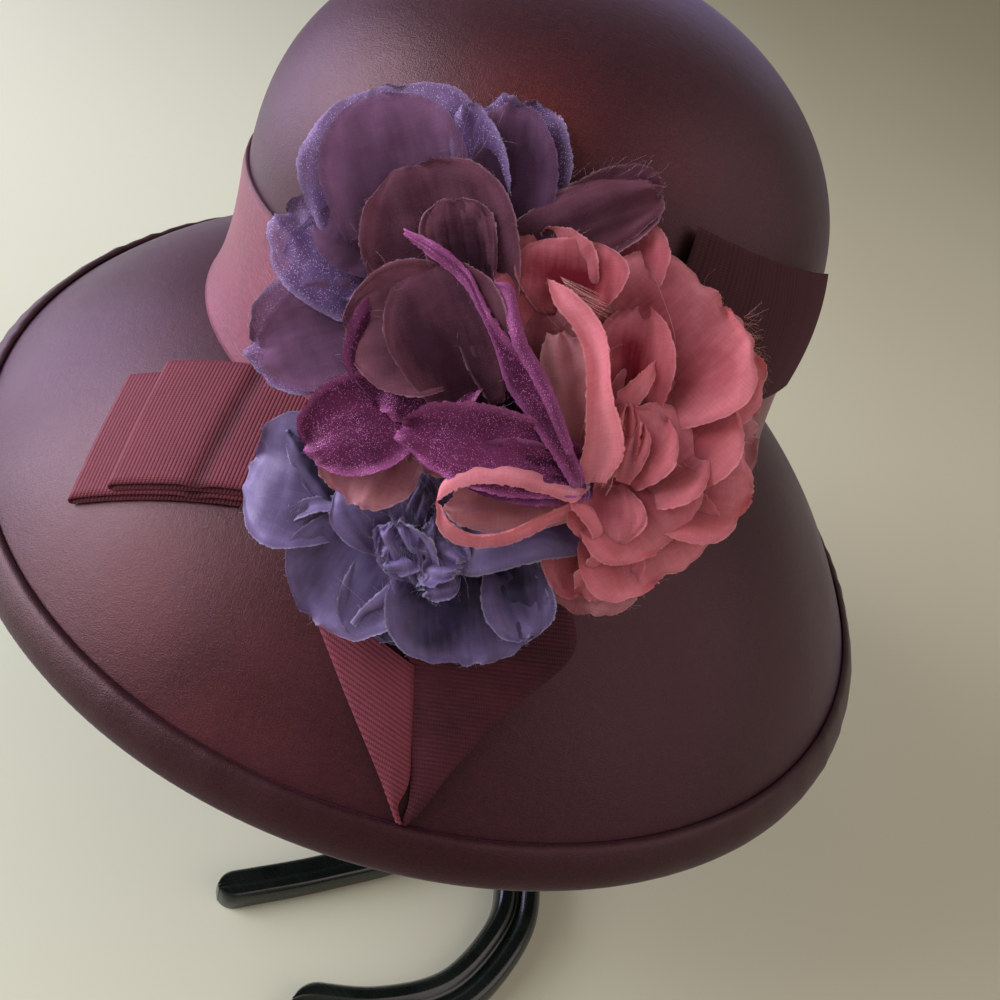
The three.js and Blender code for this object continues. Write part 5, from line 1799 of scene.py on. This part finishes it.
@dataclass
class Stand:
    """Hub with four bowed bars, post and domed rest, all of one moulded plastic, in millimetres.

    rest_edge and rest_rise are the heights of the rest's rim and dome, rest_top is the dome's top over the
    table, gap lies between stacked pieces, and bars are those of one half, repeated half a turn round.
    """

    wardrobe: Wardrobe
    hub_radius: float = 26.0
    hub_height: float = 14.0
    post_radius: float = 7.0
    rest_radius: float = 42.0
    rest_edge: float = 5.0
    rest_rise: float = 7.0
    rest_top: float = 324.0
    gap: float = 0.3
    bars: tuple[StandBar, ...] = (
        StandBar(13, 9, 0.6, ((8, -6), (34, -26), (48, -54), (38, -82), (4, -106), (-33, -127))),
        StandBar(19, 10, 3, ((14, 2), (52, -14), (76, -48), (84, -84), (83, -108), (67, -137), (40, -153),
                             (8, -160))),
    )

    def bar(self, bar: StandBar, turn: float) -> Surface:
        """A rounded, grooved section carried along the bar's line, rounded off at its end."""
        steps = 70
        share = np.sin(np.linspace(0, np.pi / 2, steps))
        line = curve_through(np.array(bar.line, float), share)
        ahead = unit(np.gradient(line, axis=0))
        side = np.stack([-ahead[:, 1], ahead[:, 0]], -1)
        left = np.linalg.norm(line - line[-1], axis=1) / (bar.width / 2)
        half = bar.width / 2 * np.sqrt(1 - (1 - np.clip(left, 0.04, 1)) ** 2)
        # The section's places across, in half widths, and up, in heights
        section = np.array([
            [-0.96, 0.0], [-1.0, 0.08], [-1.0, 0.55], [-0.96, 0.72], [-0.84, 0.9], [-0.72, 0.985],
            [-0.6, 1.0], [-0.42, 1.0], [-0.3, 0.93], [-0.16, 0.35], [0.0, 0.0], [0.16, 0.35], [0.3, 0.93],
            [0.42, 1.0], [0.6, 1.0], [0.72, 0.985], [0.84, 0.9], [0.96, 0.72], [1.0, 0.55], [1.0, 0.08],
            [0.96, 0.0],
        ])
        z = section[:, 1] * bar.height
        dip = np.abs(section[:, 0]) < 0.35
        z[dip] = bar.height - bar.groove * (1 - section[dip, 1])
        plan = line[:, None] + side[:, None] * (half[:, None] * section[None, :, 0])[..., None]
        points = np.concatenate([plan, np.broadcast_to(z[None, :, None], (*plan.shape[:2], 1))], -1)
        spin = np.array([[math.cos(turn), -math.sin(turn)], [math.sin(turn), math.cos(turn)]])
        points = np.concatenate([points[..., :2] @ spin.T, points[..., 2:]], -1)
        cloth = np.zeros((steps, len(section) + 1, 2))
        return Surface(points, cloth, wrap=True, caps=("start", "end"))

    def turned(self, profile: Array, steps: int = 72) -> Surface:
        """A profile of radius and height spun round the upright axis, closed at both ends."""
        theta = around(steps)
        x = profile[:, :1] * np.cos(theta)
        y = profile[:, :1] * np.sin(theta)
        points = np.stack(np.broadcast_arrays(x, y, profile[:, 1:]), -1)
        return Surface(points, np.zeros((len(profile), steps + 1, 2)), wrap=True, caps=("start", "end"))

    def build(self) -> None:
        """Builds the base, the post and the rest."""
        bars = [self.bar(bar, turn) for bar in self.bars for turn in (0.0, math.pi)]
        r, h = self.hub_radius, self.hub_height
        hub = self.turned(np.array([[r - 1, 0], [r, 0.8], [r - 1.5, h * 0.6], [r - 3.4, h - 1.2],
                                    [r - 5, h], [10, h], [9, h]]))
        base = build_mesh("stand_base_moulded", [*bars, hub])
        merge_doubles(base)
        self.wardrobe.dress(base, Cloth.PLASTIC, ("stand_base",))
        p = self.post_radius
        low, high = h + self.gap, self.rest_top - self.rest_edge - self.rest_rise - self.gap
        profile = np.array([[p - 1, low], [p, low + 1], [p, low + 40], [p + 0.6, low + 41],
                            [p + 0.6, low + 44], [p, low + 45], [p, high - 1], [p - 1, high]])
        post = build_mesh("stand_post_moulded", [self.turned(profile, 40)])
        merge_doubles(post)
        self.wardrobe.dress(post, Cloth.PLASTIC, ("stand_post",))
        edge = self.rest_top - self.rest_rise
        arc = np.linspace(1, 0.02, 14)
        dome = np.stack([(self.rest_radius - 1) * arc, self.rest_top - self.rest_rise * arc**2], -1)
        rim = np.array([[5, edge - self.rest_edge], [self.rest_radius - 3, edge - self.rest_edge],
                        [self.rest_radius - 0.6, edge - self.rest_edge + 1.4], [self.rest_radius, edge - 2]])
        rest = build_mesh("stand_rest_moulded", [self.turned(np.vstack([rim, dome]))])
        merge_doubles(rest)
        self.wardrobe.dress(rest, Cloth.PLASTIC, ("stand_rest",))


# The studio


class Studio:
    """Camera at the picture's viewing angle, pale floor and soft light from the left."""

    def camera(self) -> None:
        """A 36 mm lens on a 36 mm sensor, turned as the picture was taken."""
        data = bpy.data.cameras.new("camera")
        data.lens = 36
        data.sensor_width = 36
        data.clip_start = 0.01
        camera = bpy.data.objects.new("camera", data)
        bpy.context.scene.collection.objects.link(camera)
        rows = np.eye(4)
        rows[:3, 0], rows[:3, 1], rows[:3, 2] = SIGHT.right, SIGHT.up, -np.array(SIGHT.ahead)
        rows[:3, 3] = np.array(SIGHT.place) * MM
        camera.matrix_world = Matrix(rows.tolist())
        bpy.context.scene.camera = camera

    def lamp(self, name: str, place: tuple, aim: tuple, size: float, watts: float, colour: tuple) -> None:
        """A square area lamp that faces a point."""
        data = bpy.data.lights.new(name, "AREA")
        data.size = size
        data.energy = watts
        data.color = colour
        lamp = bpy.data.objects.new(name, data)
        lamp.location = place
        lamp.rotation_euler = (Vector(aim) - Vector(place)).to_track_quat("-Z", "Y").to_euler()
        bpy.context.scene.collection.objects.link(lamp)

    def floor(self) -> None:
        """A wide pale floor, painted darker and warmer towards the right as painted shade, with faint random
        tone.
        """
        reach = np.linspace(-4000, 4000, 3)
        x, y = np.meshgrid(reach, reach)
        points = np.stack([x, y, np.zeros_like(x)], -1)
        piece = build_mesh("floor", [Surface(points, points[..., :2])])
        material, t, shader = new_material("floor")
        place = t.place()
        across = t.add("SeparateXYZ", {0: place}).outputs[0]
        # painted shade: the floor's colour darkens and warms towards the right
        tone = t.plus(t.times(t.noise(place, 1.6, 3), 0.3), t.remap(across, -0.2, 0.35, 0.0, 0.45))
        t.fill(shader, {"Base Color": t.mix(tone, srgb(216, 220, 202), srgb(190, 178, 150)),
                        "Roughness": 0.7})
        piece.data.materials.append(material)

    def build(self) -> None:
        """Camera, lamps, world and floor."""
        self.camera()
        self.lamp("window", (-1.3, -0.3, 0.8), (0, -0.05, 0.22), 1.0, 28, (0.96, 0.98, 1.0))
        self.lamp("sky", (-1.3, 0.35, 0.4), (0, 0, 0.25), 0.9, 10, (0.7, 0.62, 1.0))
        self.lamp("room", (1.2, -0.4, 1.2), (0, 0, 0.2), 1.6, 9, (1.0, 0.87, 0.88))
        world = bpy.data.worlds.new("world")
        world.use_nodes = True
        Tree(world.node_tree).fill(world.node_tree.nodes["Background"], {0: srgb(208, 202, 184), 1: 0.42})
        bpy.context.scene.world = world
        bpy.context.scene.view_settings.view_transform = "Standard"
        self.floor()


def main() -> None:
    """Builds the studio, then each part of the hat."""
    logging.basicConfig(level=logging.INFO, format="%(name)s %(message)s")
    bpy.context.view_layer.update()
    Studio().build()
    wardrobe = Wardrobe()
    HatBody(wardrobe).build()
    RibbonTrim(wardrobe).build()
    for seed, flower in enumerate((PURPLE, PINK, BLUE)):
        flower.build(wardrobe, 100 * (seed + 1))
    Stand(wardrobe).build()


if __name__ == "__main__":
    main()
